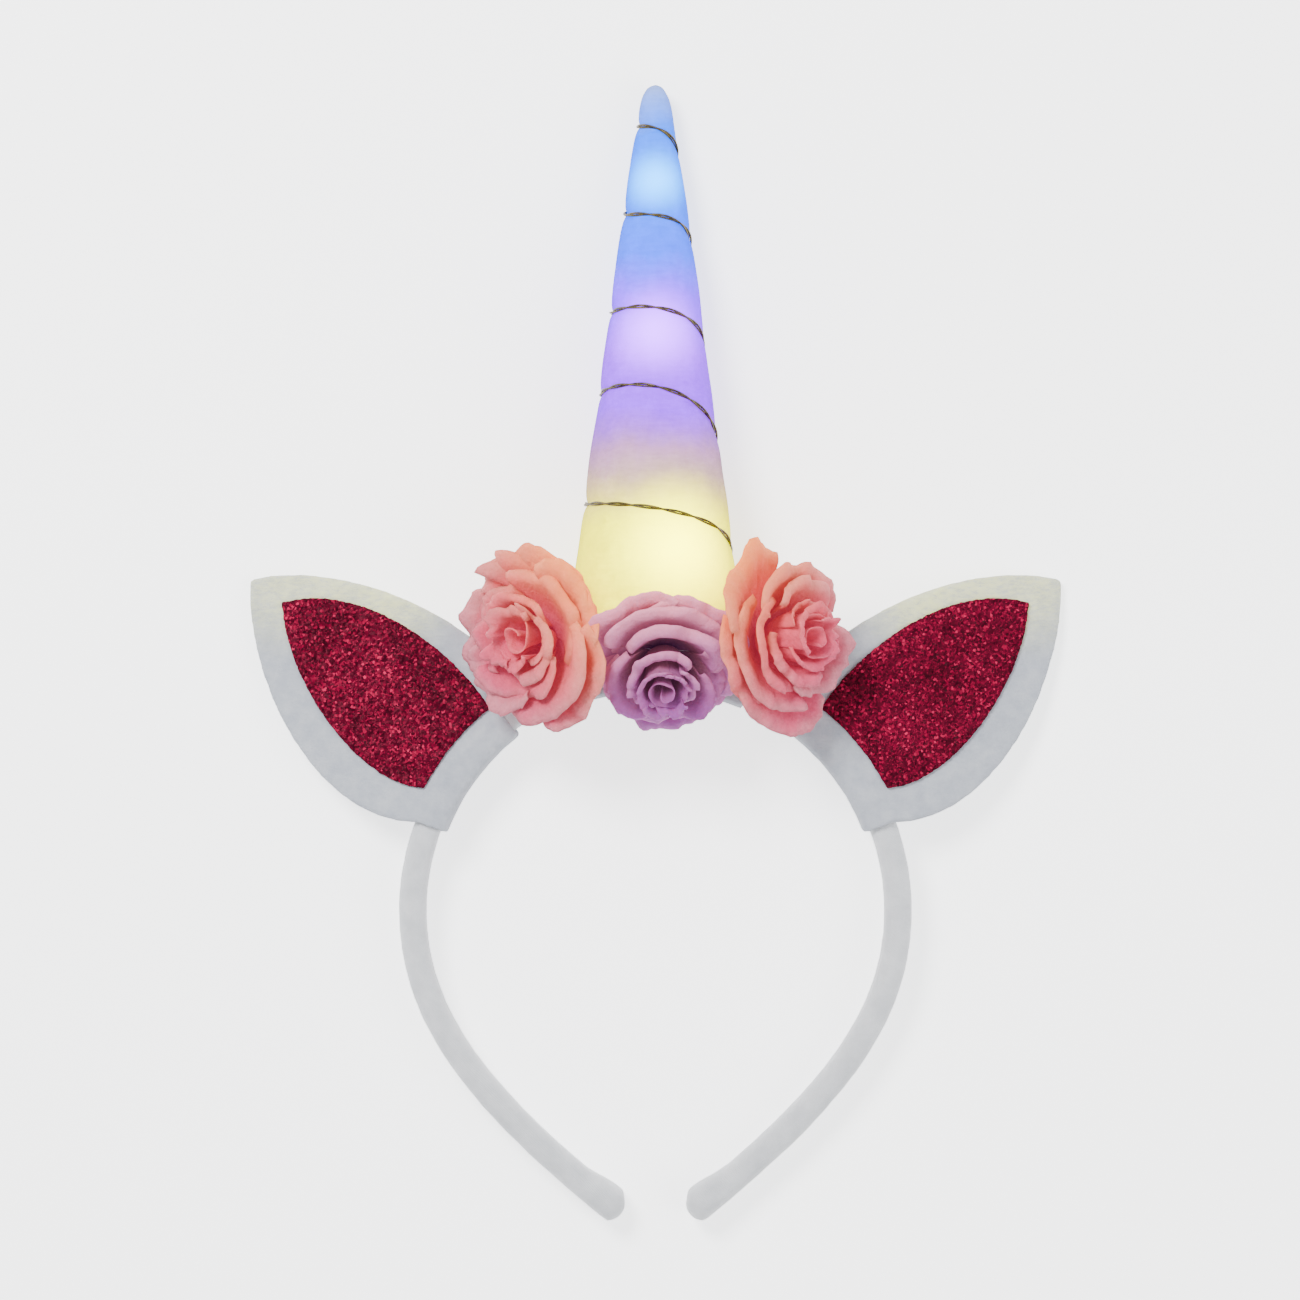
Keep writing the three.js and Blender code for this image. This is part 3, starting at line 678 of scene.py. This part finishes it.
def band_stations():
    """Middle, outward direction and swell of the band's section from its left end to its right end."""
    stations = []
    for i in range(1, ARC_STEPS):
        a = math.pi * (i / ARC_STEPS - 0.5)
        out = Vector((math.sin(a), math.cos(a), 0))
        stations.append((out * BAND_RADIUS, out, 1.0))

    def leg(side):
        rows = []
        for i in range(LEG_STEPS + 1):
            point, along = leg_curve(side, i / LEG_STEPS)
            out = Vector((-side * along.y, side * along.x, 0))
            to_end = (point - leg_curve(side, 1)[0]).length
            swell = 1 + END_SWELL * smoothstep(1 - to_end / END_SWELL_LENGTH)
            rows.append((point, out, swell))
        end, along = leg_curve(side, 1)
        out = rows[LEG_STEPS][1]
        dome = BAND_THICKNESS / 2 * (1 + END_SWELL)
        for i in range(1, CAP_STEPS + 1):
            a = CAP_TURN * i / CAP_STEPS
            rows.append((end + along * dome * math.sin(a), out, (1 + END_SWELL) * math.cos(a)))
        return rows

    return leg(-1)[::-1] + stations + leg(1)


def band_section():
    """Rounded section, flatter on the side of the head: shares of half thickness and half depth."""
    rows = []
    for i in range(SECTION_SIDES):
        a = 2 * math.pi * i / SECTION_SIDES
        out = math.cos(a)
        fore = math.sin(a)
        power = OUTER_POWER if out > 0 else HEAD_POWER
        rows.append((math.copysign(abs(out) ** power, out), math.copysign(abs(fore) ** FORE_POWER, fore)))
    return rows


def make_band():
    section = band_section()
    rings = []
    for middle, out, swell in band_stations():
        ring = []
        for across, fore in section:
            point = middle + out * (across * BAND_THICKNESS / 2 * swell)
            point += UP * (fore * BAND_DEPTH / 2 * swell) - out * (max(0, swell - 1) * END_LEAN)
            creep = sum(height * noise.noise(point * grain) for height, grain in BAND_CREEP)
            ring.append(point + (point - middle).normalized() * creep)
        rings.append(ring)
    points, faces = ring_skin(rings)
    band = make_object("band_cover", points, faces, WORN)
    recalculate(band)
    return add_piece(band, "band_fabric", band_look(), "band")


# Felt and glitter cloth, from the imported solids: how finely they are remeshed, how many passes
# round their edges, how uneven the surface is, and how often that repeats
EAR_CLOTH = {"voxel": 0.75 * MM, "passes": 5, "rough": 0.12 * MM, "grain": 180}
PAD_CLOTH = {"voxel": 0.8 * MM, "passes": 4, "rough": 0.12 * MM, "grain": 180}
GLITTER_CLOTH = {"voxel": 0.4 * MM, "passes": 2, "rough": 0.16 * MM, "grain": 900}

# A second, finer unevenness: shares of the first one's height and grain
FINE_ROUGH = 0.4
FINE_GRAIN = 3.1


def soft_copy(node, name, voxel, passes, rough, grain):
    """Copy of a CAD node, remeshed fine, with rounded edges and a slightly uneven surface."""
    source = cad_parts[node]
    piece = bpy.data.objects.new(name, source.data.copy())
    bpy.context.collection.objects.link(piece)
    remesh = piece.modifiers.new("remesh", "REMESH")
    remesh.mode = "VOXEL"
    remesh.voxel_size = voxel
    smooth = piece.modifiers.new("smooth", "SMOOTH")
    smooth.iterations = passes
    smooth.factor = 0.5
    apply_modifiers(piece)
    normals = [vertex.normal.copy() for vertex in piece.data.vertices]
    for vertex, normal in zip(piece.data.vertices, normals):
        lift = rough * noise.noise(vertex.co * grain)
        lift += FINE_ROUGH * rough * noise.noise(vertex.co * grain * FINE_GRAIN)
        vertex.co += normal * lift
    return piece


# Front of the pad: above this height it is pressed down under the petals, to this share
PAD_FRONT = 40 * MM
PAD_PRESSED = 0.15


def make_felt():
    felt = felt_look()
    for side in ("left", "right"):
        ear = soft_copy(f"ear_{side}", f"ear_felt_{side}", **EAR_CLOTH)
        add_piece(ear, "white_felt", felt, f"ear_{side}")
    pad = soft_copy("base_pad", "base_felt", **PAD_CLOTH)
    for vertex in pad.data.vertices:
        vertex.co.z -= (1 - PAD_PRESSED) * max(0.0, vertex.co.z - PAD_FRONT)
    add_piece(pad, "white_felt", felt, "base_pad")


def make_glitter():
    glitter = glitter_look()
    for side in ("left", "right"):
        panel = soft_copy(f"ear_panel_{side}", f"glitter_{side}", **GLITTER_CLOTH)
        add_piece(panel, "crimson_glitter", glitter, f"ear_panel_{side}")


# Horn


def horn_matrix():
    seat = Vector((0, BAND_RADIUS + BAND_THICKNESS / 2 + HORN_SEAT_RISE, HORN_FORWARD))
    return Matrix.Translation(seat) @ Matrix.Rotation(-HORN_LEAN, 4, "X")


def horn_radius(along):
    return HORN_RADIUS * smooth_table(HORN_PROFILE, along)


def skin_radius(along, full, dip=SKIN_DIP):
    fade = min(1.0, max(0.0, min(along, 1 - along) / PLAIN_ENDS))
    return horn_radius(along) + dip * (full - 1) * fade


def thread_angle(turns):
    return 2 * math.pi * turns - math.pi / 2


def thread_along(turns):
    along = smooth_table(THREAD_PATH, turns)
    radius = horn_radius(min(1.0, max(0.0, along)))
    arch = smooth_table(THREAD_ARCH, turns)
    return along + arch * radius * math.cos(thread_angle(turns)) / HORN_LENGTH


def horn_point(angle, along, radius):
    return Vector((radius * math.sin(angle), along * HORN_LENGTH, radius * math.cos(angle)))


def horn_skin():
    """Points and faces of the horn's cloth, which follow the cord's groove, and which points are held."""
    rows = (SKIN_LAST_TURN - SKIN_FIRST_TURN) * HORN_ROWS_PER_TURN
    points = []
    held = []
    for row in range(rows + 1):
        turn, step = divmod(row, HORN_ROWS_PER_TURN)
        between = step / HORN_ROWS_PER_TURN
        full = smooth_table(PUFF_ROWS, between)
        for side in range(HORN_SIDES + 1):
            turns = SKIN_FIRST_TURN + turn + side / HORN_SIDES
            height = (1 - between) * thread_along(turns) + between * thread_along(turns + 1)
            along = min(1.0, max(0.0, height))
            points.append(horn_point(thread_angle(turns), along, skin_radius(along, full)))
            held.append(step == 0 or along < PLAIN_ENDS or along > 1 - PLAIN_ENDS)
    stride = HORN_SIDES + 1
    faces = []
    for row in range(rows):
        for side in range(HORN_SIDES):
            a = row * stride + side
            faces.append((a, a + 1, a + 1 + stride, a + stride))
    return points, faces, held


def close_horn(points, faces, held):
    """Welds the spiral skin, closes its base and gives each held point a weight of 1."""
    shape = bmesh.new()
    weight = shape.verts.layers.deform.verify()
    verts = [shape.verts.new(p) for p in points]
    for vert, is_held in zip(verts, held):
        vert[weight][0] = 1.0 if is_held else 0.0
    for face in faces:
        shape.faces.new([verts[i] for i in face])
    bmesh.ops.remove_doubles(shape, verts=shape.verts, dist=WELD)
    bmesh.ops.dissolve_degenerate(shape, edges=shape.edges, dist=WELD)
    rim = [edge for edge in shape.edges if edge.is_boundary]
    bmesh.ops.holes_fill(shape, edges=rim, sides=0)
    bmesh.ops.recalc_face_normals(shape, faces=shape.faces)
    mesh = bpy.data.meshes.new("horn_cover")
    shape.to_mesh(mesh)
    shape.free()
    horn = bpy.data.objects.new("horn_cover", mesh)
    bpy.context.collection.objects.link(horn)
    horn.vertex_groups.new(name="held")
    return horn


# Stuffed cloth: how hard the stuffing presses and how far a point may move
STUFFING_PRESSURE = 4.0
STUFFING_STEPS = 18
STUFFING_REACH = 0.9 * MM
CLOTH_STIFFNESS = 12
CLOTH_BENDING = 0.2
SIMULATION_SCALE = 20


def stuff(horn):
    """Presses the horn's cloth out between the turns of the cord, held where the cord draws it in."""
    rest = [v.co.copy() for v in horn.data.vertices]
    horn.data.transform(Matrix.Scale(SIMULATION_SCALE, 4))
    cloth = horn.modifiers.new("cloth", "CLOTH")
    settings = cloth.settings
    settings.vertex_group_mass = "held"
    settings.use_pressure = True
    settings.uniform_pressure_force = STUFFING_PRESSURE
    settings.effector_weights.gravity = 0
    settings.tension_stiffness = CLOTH_STIFFNESS
    settings.compression_stiffness = CLOTH_STIFFNESS
    settings.bending_stiffness = CLOTH_BENDING
    cloth.collision_settings.use_collision = False
    scene = bpy.context.scene
    for step in range(1, STUFFING_STEPS + 1):
        scene.frame_set(step)
    graph = bpy.context.evaluated_depsgraph_get()
    moved = [v.co / SIMULATION_SCALE for v in horn.evaluated_get(graph).data.vertices]
    horn.modifiers.clear()
    scene.frame_set(1)
    for vertex, old, new in zip(horn.data.vertices, rest, moved):
        shift = new - old
        if shift.length > STUFFING_REACH:
            shift *= STUFFING_REACH / shift.length
        vertex.co = old + shift


# Long shallow creases in the horn's cloth: their height, and how often they repeat round and along
CREASE_HEIGHT = 0.22 * MM
CREASES_ROUND = 240
CREASES_ALONG = 90


def crease_horn(horn):
    for vertex in horn.data.vertices:
        x, y, z = vertex.co
        radial = Vector((x, 0, z))
        if radial.length > 1 * MM:
            crease = noise.noise(Vector((x * CREASES_ROUND, y * CREASES_ALONG, z * CREASES_ROUND)))
            vertex.co += radial.normalized() * CREASE_HEIGHT * crease


def make_horn():
    horn = close_horn(*horn_skin())
    stuff(horn)
    crease_horn(horn)
    horn.data.transform(WORN @ horn_matrix())
    for polygon in horn.data.polygons:
        polygon.use_smooth = True
    return add_piece(horn, "horn_cloth", horn_look(), "horn")


# Twisted cord: two strands that turn round each other along the groove
STRAND_RADIUS = 0.3 * MM
STRAND_OFFSET = 0.32 * MM
TWIST_LENGTH = 17 * MM
STRAND_SIDES = 7
THREAD_STEP_TURNS = 1 / 120
CORD_LIFT = 0.25 * MM


def thread_middles():
    """Middle of the cord and the direction out of the horn, step by step."""
    steps = round((THREAD_END - THREAD_START) / THREAD_STEP_TURNS)
    rows = []
    for i in range(steps + 1):
        turns = THREAD_START + i * THREAD_STEP_TURNS
        along = thread_along(turns)
        angle = thread_angle(turns)
        radius = skin_radius(along, 0, GROOVE_DEPTH) + FIT_GAP + THREAD_DIAMETER / 2 + CORD_LIFT
        rows.append((horn_point(angle, along, radius), Vector((math.sin(angle), 0, math.cos(angle)))))
    return rows


def strand_rings(middles, start):
    """Rings of one strand that winds round the cord's middle from an angle."""
    rings = []
    travelled = 0.0
    for i, (middle, out) in enumerate(middles):
        before = middles[max(0, i - 1)][0]
        after = middles[min(len(middles) - 1, i + 1)][0]
        direction = (after - before).normalized()
        travelled += (middle - before).length
        level = direction.cross(out).normalized()
        lift = level.cross(direction)
        turn = start + 2 * math.pi * travelled / TWIST_LENGTH
        core = middle + (lift * math.cos(turn) + level * math.sin(turn)) * STRAND_OFFSET
        ring = []
        for k in range(STRAND_SIDES):
            a = 2 * math.pi * k / STRAND_SIDES
            ring.append(core + (lift * math.cos(a) + level * math.sin(a)) * STRAND_RADIUS)
        rings.append(ring)
    return rings


def make_thread():
    middles = thread_middles()
    points = []
    faces = []
    for start in (0, math.pi):
        more, skin = ring_skin(strand_rings(middles, start))
        faces.extend(tuple(len(points) + i for i in face) for face in skin)
        points.extend(more)
    thread = make_object("gold_strands", points, faces, WORN @ horn_matrix())
    recalculate(thread)
    return add_piece(thread, "gold_cord", gold_look(), "horn_thread")


# Roses

PETAL_CLOTH = 0.35 * MM
PETAL_ACROSS = 32
PETAL_OUT = 20
MIDDLE_TONE = 0.5

# Rings of petals: radius, rim height and base are shares of the rose's radius; width and turn are in
# degrees, and so are steep and roll, the slopes of a petal's flank and of its rolled rim
ROSE_RINGS = {
    "outer": [
        {
            "petals": 5, "radius": 1.0, "height": 0.38, "base": 0.0, "turn": 0,
            "width": 92, "steep": 34, "roll": 12,
        },
        {
            "petals": 3, "radius": 0.88, "height": 0.45, "base": 0.02, "turn": 41,
            "width": 128, "steep": 44, "roll": 20,
        },
    ],
    "middle": [
        {
            "petals": 3, "radius": 0.72, "height": 0.56, "base": 0.05, "turn": 13,
            "width": 132, "steep": 60, "roll": 26,
        },
    ],
    "inner": [
        {
            "petals": 3, "radius": 0.5, "height": 0.64, "base": 0.09, "turn": 50,
            "width": 130, "steep": 74, "roll": 22,
        },
        {
            "petals": 3, "radius": 0.36, "height": 0.7, "base": 0.12, "turn": 96,
            "width": 140, "steep": 82, "roll": 10,
        },
    ],
}

# What differs from petal to petal: shares of width, length and slopes, then lean, lap and cupped as
# shares of the rose's radius, and twist in radians
PETAL_CHANCE = {
    "width": (0.88, 1.1),
    "length": (0.86, 1.05),
    "steep": (0.75, 1.15),
    "roll": (0.2, 1.8),
    "seed": (0, 60),
    "lean": (-0.09, 0.06),
    "lap": (0.05, 0.12),
    "cupped": (-0.03, 0.1),
    "twist": (-0.16, 0.16),
}

# Petal's flank: share of its reach, and how steep it starts; where the rolled rim starts
FLANK_SHARE = 0.6
FLANK_START = 0.25
ROLL_START = 0.8

# Petal's rim, in shares of its length: how round it is, the dip in its middle, and its waves and
# jags with how often they repeat
RIM_ROUND = 0.22
RIM_POWER = 2.6
RIM_DIP = 0.05
RIM_DIP_WIDTH = 0.2
RIM_WAVE = 0.06
RIM_WAVES = 2.6
RIM_JAG = 0.016
RIM_JAGS = 14

# Petal's foot: its distance from the rose's middle, and how wide it starts
PETAL_FOOT = 0.1
FOOT_WIDTH = 0.55

# Share of the rim's shape in a petal's rise
RIM_RISE = 0.4

# Waves, frills, creases and grain of a petal: how often they repeat, and their shares of its radius
WAVES = 2.6
WAVES_OUT = 1.2
WAVE_REACH = 0.09
WAVE_LIFT = 0.14
FRILLS = 6.5
FRILLS_OUT = 0.8
FRILL_REACH = 0.03
FRILL_LIFT = 0.05
CREASES = 11
CREASES_OUT = 1.6
CREASE_LIFT = 0.02
GRAIN = 420
GRAIN_LIFT = 0.008

# How much more open the outer petals lie than the inner ones, so the inner ones take more of the painted
# shade
OPEN_SHARE = 0.25


def petal_profile(steep, roll):
    """Reach and rise of a petal from base to rim, from 0 to 1: up a flank, then over a rolled rim."""
    reach = [0.0]
    rise = [0.0]
    for j in range(1, PETAL_OUT + 1):
        v = j / PETAL_OUT
        flank = steep * smoothstep(v / FLANK_SHARE + FLANK_START)
        slope = math.radians(flank - (steep + roll) * smoothstep((v - ROLL_START) / (1 - ROLL_START)))
        reach.append(reach[-1] + math.cos(slope))
        rise.append(rise[-1] + math.sin(slope))
    return [x / max(reach) for x in reach], [z / max(rise) for z in rise]


def petal_rim(across, seed):
    """How far a petal reaches at a place across it: rounded, with a dip and a jagged edge."""
    rim = 1 - RIM_ROUND * abs(across) ** RIM_POWER - RIM_DIP * math.exp(-((across / RIM_DIP_WIDTH) ** 2))
    rim += RIM_WAVE * noise.noise(Vector((across * RIM_WAVES, seed, 1.7)))
    return rim + RIM_JAG * noise.noise(Vector((across * RIM_JAGS, seed, 3.1)))


def petal_height(ring, rose):
    """Height of a ring's rims; the heart scales what stands above the outer ring."""
    if ring["height"] < OUTER_HEIGHT:
        return ring["height"]
    return OUTER_HEIGHT + rose["heart"] * (ring["height"] - OUTER_HEIGHT)


def petal_length(ring, rose, middle):
    """Length of a ring's petal that points in the direction middle, as a share of the rose's radius."""
    longer = 1 + rose["crest"] * max(0.0, math.sin(middle)) * ring["radius"]
    longer *= 1 + rose["sideways"] * math.cos(middle) * ring["radius"]
    return ring["radius"] * rose["spread"] * longer


def petal_grid(ring, rose, middle, chance):
    """Points of one petal, with how open it lies there, as rows from its base to its rim."""
    draw = {name: chance.uniform(*span) for name, span in PETAL_CHANCE.items()}
    radius = rose["size"] * ROSE_RADIUS
    height = petal_height(ring, rose) * radius
    length = petal_length(ring, rose, middle) * draw["length"] * radius
    foot = PETAL_FOOT * radius
    base = ring["base"] * radius
    half = math.radians(ring["width"] * draw["width"]) / 2
    reach, rise = petal_profile(ring["steep"] * draw["steep"], ring["roll"] * draw["roll"])
    seed = draw["seed"]
    rows = []
    for j in range(PETAL_OUT + 1):
        out = j / PETAL_OUT
        row = []
        for i in range(PETAL_ACROSS + 1):
            across = 2 * i / PETAL_ACROSS - 1
            rim = 1 - (1 - petal_rim(across, seed)) * out
            width = FOOT_WIDTH + (1 - FOOT_WIDTH) * out**0.5
            angle = middle + across * half * width + draw["twist"] * out**2
            wave = noise.noise(Vector((across * WAVES, out * WAVES_OUT, seed)))
            frill = noise.noise(Vector((across * FRILLS, out * FRILLS_OUT, seed + 9)))
            crease = noise.noise(Vector((across * CREASES, out * CREASES_OUT, seed + 20)))
            far = foot + (length - foot) * reach[j] * rim
            far += (WAVE_REACH * wave + FRILL_REACH * frill * out**2) * radius * out**2
            lift = base + (height - base + draw["lean"] * radius) * rise[j] * (1 - RIM_RISE * (1 - rim))
            lift += (draw["lap"] * across + draw["cupped"] * across**2) * radius * out
            lift += (WAVE_LIFT * wave * out**2 + FRILL_LIFT * frill * out**3) * radius
            point = Vector((far * math.cos(angle), far * math.sin(angle), lift))
            point.z += (CREASE_LIFT * crease * out + GRAIN_LIFT * noise.noise(point * GRAIN)) * radius
            row.append((point, out * (1 - OPEN_SHARE * (1 - ring["radius"]))))
        rows.append(row)
    return rows


def add_sheet(shape, layer, rows, tone):
    """Adds rows of points as cloth, and stores how open each point lies and the petal's own tone."""
    grid = []
    for row in rows:
        line = []
        for point, openness in row:
            vert = shape.verts.new(point)
            vert[layer] = Vector((openness, tone, 0))
            line.append(vert)
        grid.append(line)
    for low, high in zip(grid, grid[1:]):
        for i in range(len(low) - 1):
            shape.faces.new((low[i], low[i + 1], high[i + 1], high[i]))


# Bud: turns of the rolled strip, its steps along and its levels up; heights and spreads are shares
# of the rose's radius
BUD_TURNS = 1.7
BUD_STEPS = 80
BUD_LEVELS = 8
BUD_BASE = 0.14
BUD_HEIGHT = 0.72
BUD_SINK = 0.08
BUD_JAG = 0.09
BUD_CORE = 0.03
BUD_WINDING = 0.21
BUD_CRUMPLE = 0.22


def bud_rows(rose, chance):
    """Rolled strip at the heart of a rose, wound from the middle out."""
    radius = rose["size"] * ROSE_RADIUS
    top_height = OUTER_HEIGHT + rose["heart"] * (BUD_HEIGHT - OUTER_HEIGHT)
    phase = chance.uniform(0, 6)
    rows = []
    for level in range(BUD_LEVELS + 1):
        rise = level / BUD_LEVELS
        row = []
        for i in range(BUD_STEPS + 1):
            t = i / BUD_STEPS
            angle = 2 * math.pi * BUD_TURNS * t + phase
            crumple = noise.noise(Vector((angle * 0.9, rise * 1.5, phase)))
            spread = (BUD_CORE + BUD_WINDING * t) * (0.5 + 0.55 * rise) + 0.05 * rise**4 * (0.4 + t)
            spread *= 1 + BUD_CRUMPLE * crumple
            jag = noise.noise(Vector((angle * 0.7, 2.2, phase)))
            top = top_height - BUD_SINK * t + BUD_JAG * jag
            height = BUD_BASE + (top - BUD_BASE) * rise
            point = Vector((spread * math.cos(angle), spread * math.sin(angle), height)) * radius
            # Low in the bud the cloth lies closed and takes the painted shade of the depths.
            row.append((point, 0.15 + 0.6 * rise**2))
        rows.append(row)
    return rows


def rose_matrix(rose):
    height = (1 + rose["rise"]) * BAND_RADIUS
    place = Matrix.Translation((rose["side"] * BAND_RADIUS, height, rose["forward"] * BAND_DEPTH))
    yaw = Matrix.Rotation(math.radians(rose["yaw"]), 4, "Y")
    return WORN @ place @ yaw @ Matrix.Rotation(math.radians(rose["pitch"]), 4, "X")


def make_rose_part(name, part, look):
    rose = ROSES[name]
    chance = random.Random(rose["seed"] * 10 + len(part))
    radius = rose["size"] * ROSE_RADIUS
    shape = bmesh.new()
    layer = shape.verts.layers.float_vector.new("petal")
    if part == "bud":
        add_sheet(shape, layer, bud_rows(rose, chance), MIDDLE_TONE)
    else:
        for ring in ROSE_RINGS[part]:
            start = math.radians(ring["turn"] + rose["turn"])
            for k in range(ring["petals"]):
                middle = start + 2 * math.pi * k / ring["petals"] + chance.uniform(-0.15, 0.15)
                add_sheet(shape, layer, petal_grid(ring, rose, middle, chance), chance.random())
    if part == "outer":
        add_hip(shape, layer, radius)
    area = sum(face.calc_area() for face in shape.faces)
    mesh = bpy.data.meshes.new(f"{name}_{part}_petals")
    shape.to_mesh(mesh)
    shape.free()
    mesh.transform(rose_matrix(rose))
    piece = bpy.data.objects.new(mesh.name, mesh)
    bpy.context.collection.objects.link(piece)
    thick = piece.modifiers.new("cloth", "SOLIDIFY")
    thick.thickness = PETAL_CLOTH
    thick.offset = 0
    apply_modifiers(piece)
    return add_piece(piece, rose["slot"], look, f"{name}_{part}")


# Hip behind the petals: depth and girth as shares of the rose's radius
HIP_ROWS = [(0.02, 0.15), (-0.1, 0.15), (-0.3, 0.13), (-0.5, 0.11)]
HIP_SIDES = 14
# The hip lies closed, so it takes the painted shade of the depths.
HIP_OPENNESS = 0.1


def add_hip(shape, layer, radius):
    """Cloth-wrapped hip behind the petals, where a rose is glued on."""
    rings = []
    for depth, girth in HIP_ROWS:
        ring = []
        for k in range(HIP_SIDES + 1):
            a = 2 * math.pi * k / HIP_SIDES
            point = Vector((girth * math.cos(a), girth * math.sin(a), depth)) * radius
            ring.append((point, HIP_OPENNESS))
        rings.append(ring)
    add_sheet(shape, layer, rings, MIDDLE_TONE)


# Petal colours: painted shade in the depths, the cloth's own colour on the flanks, painted light at the
# rims, and where the horn's light falls on them
PETAL_COLORS = {
    "pink_petal": ((0.60, 0.055, 0.135), (0.49, 0.065, 0.125), (0.45, 0.145, 0.18), (0.98, 0.25, 0.025)),
    "lilac_petal": ((0.035, 0.003, 0.060), (0.16, 0.033, 0.23), (0.27, 0.105, 0.32), (0.78, 0.25, 0.29)),
}


def make_roses():
    looks = {slot: petal_look(slot, *colors) for slot, colors in PETAL_COLORS.items()}
    for name, rose in ROSES.items():
        for part in ("outer", "middle", "inner", "bud"):
            make_rose_part(name, part, looks[rose["slot"]])


# Stage, light and camera


# Light through the white table from below, which keeps the shadows round the headband soft
FLOOR_GLOW = 1.9
FLOOR_TONES = [(0.3, (0.93, 0.93, 0.93)), (0.7, (0.94, 0.94, 0.94))]
FLOOR_REACH = 6.0

# Light from all round, then two round lamps that face the object: place in metres, size and power
WORLD_COLOR = (0.95, 0.97, 1, 1)
WORLD_LIGHT = 1.2
LAMPS = {
    "key": {"place": (-0.5, 0.6, 1.1), "size": 0.5, "power": 29},
    "fill": {"place": (0.8, -0.3, 0.9), "size": 0.9, "power": 9},
}


def floor_look():
    look = Look("pale_floor")
    tone = look.ramp(look.noise(3, 2, 0.5), FLOOR_TONES)
    look.link(tone, look.shader.inputs["Base Color"])
    look.link(tone, look.shader.inputs["Emission Color"])
    look.value("Emission Strength", FLOOR_GLOW)
    look.value("Roughness", 0.9)
    return look.material


def make_stage():
    turns = ((-1, -1), (1, -1), (1, 1), (-1, 1))
    corners = [(x * FLOOR_REACH, y * FLOOR_REACH, 0) for x, y in turns]
    floor = make_object("floor", corners, [(0, 1, 2, 3)])
    floor.data.materials.append(floor_look())


def add_lamp(name, place, size, power):
    light = bpy.data.lights.new(name, "AREA")
    light.shape = "DISK"
    light.size = size
    light.energy = power
    lamp = bpy.data.objects.new(name, light)
    lamp.location = place
    lamp.rotation_euler = (-Vector(place)).to_track_quat("-Z", "Y").to_euler()
    bpy.context.collection.objects.link(lamp)


def make_light():
    world = bpy.data.worlds.new("studio")
    world.use_nodes = True
    background = world.node_tree.nodes["Background"]
    background.inputs["Color"].default_value = WORLD_COLOR
    background.inputs["Strength"].default_value = WORLD_LIGHT
    bpy.context.scene.world = world
    for name, lamp in LAMPS.items():
        add_lamp(name, **lamp)


def make_camera():
    data = bpy.data.cameras.new("camera")
    data.sensor_width = SENSOR
    data.lens = SENSOR * (CAMERA_HEIGHT - FOCUS_HEIGHT) / (PHOTO_SIDE * PIXEL)
    data.clip_end = CAMERA_REACH
    camera = bpy.data.objects.new("camera", data)
    middle = PHOTO_SIDE / 2
    across = (middle - OBJECT_PIXEL[0]) * PIXEL
    up = (OBJECT_PIXEL[1] - middle) * PIXEL
    camera.location = (across, up, CAMERA_HEIGHT)
    bpy.context.collection.objects.link(camera)
    bpy.context.scene.camera = camera


make_camera()
make_stage()
make_light()
make_band()
make_felt()
make_glitter()
make_horn()
make_thread()
make_roses()
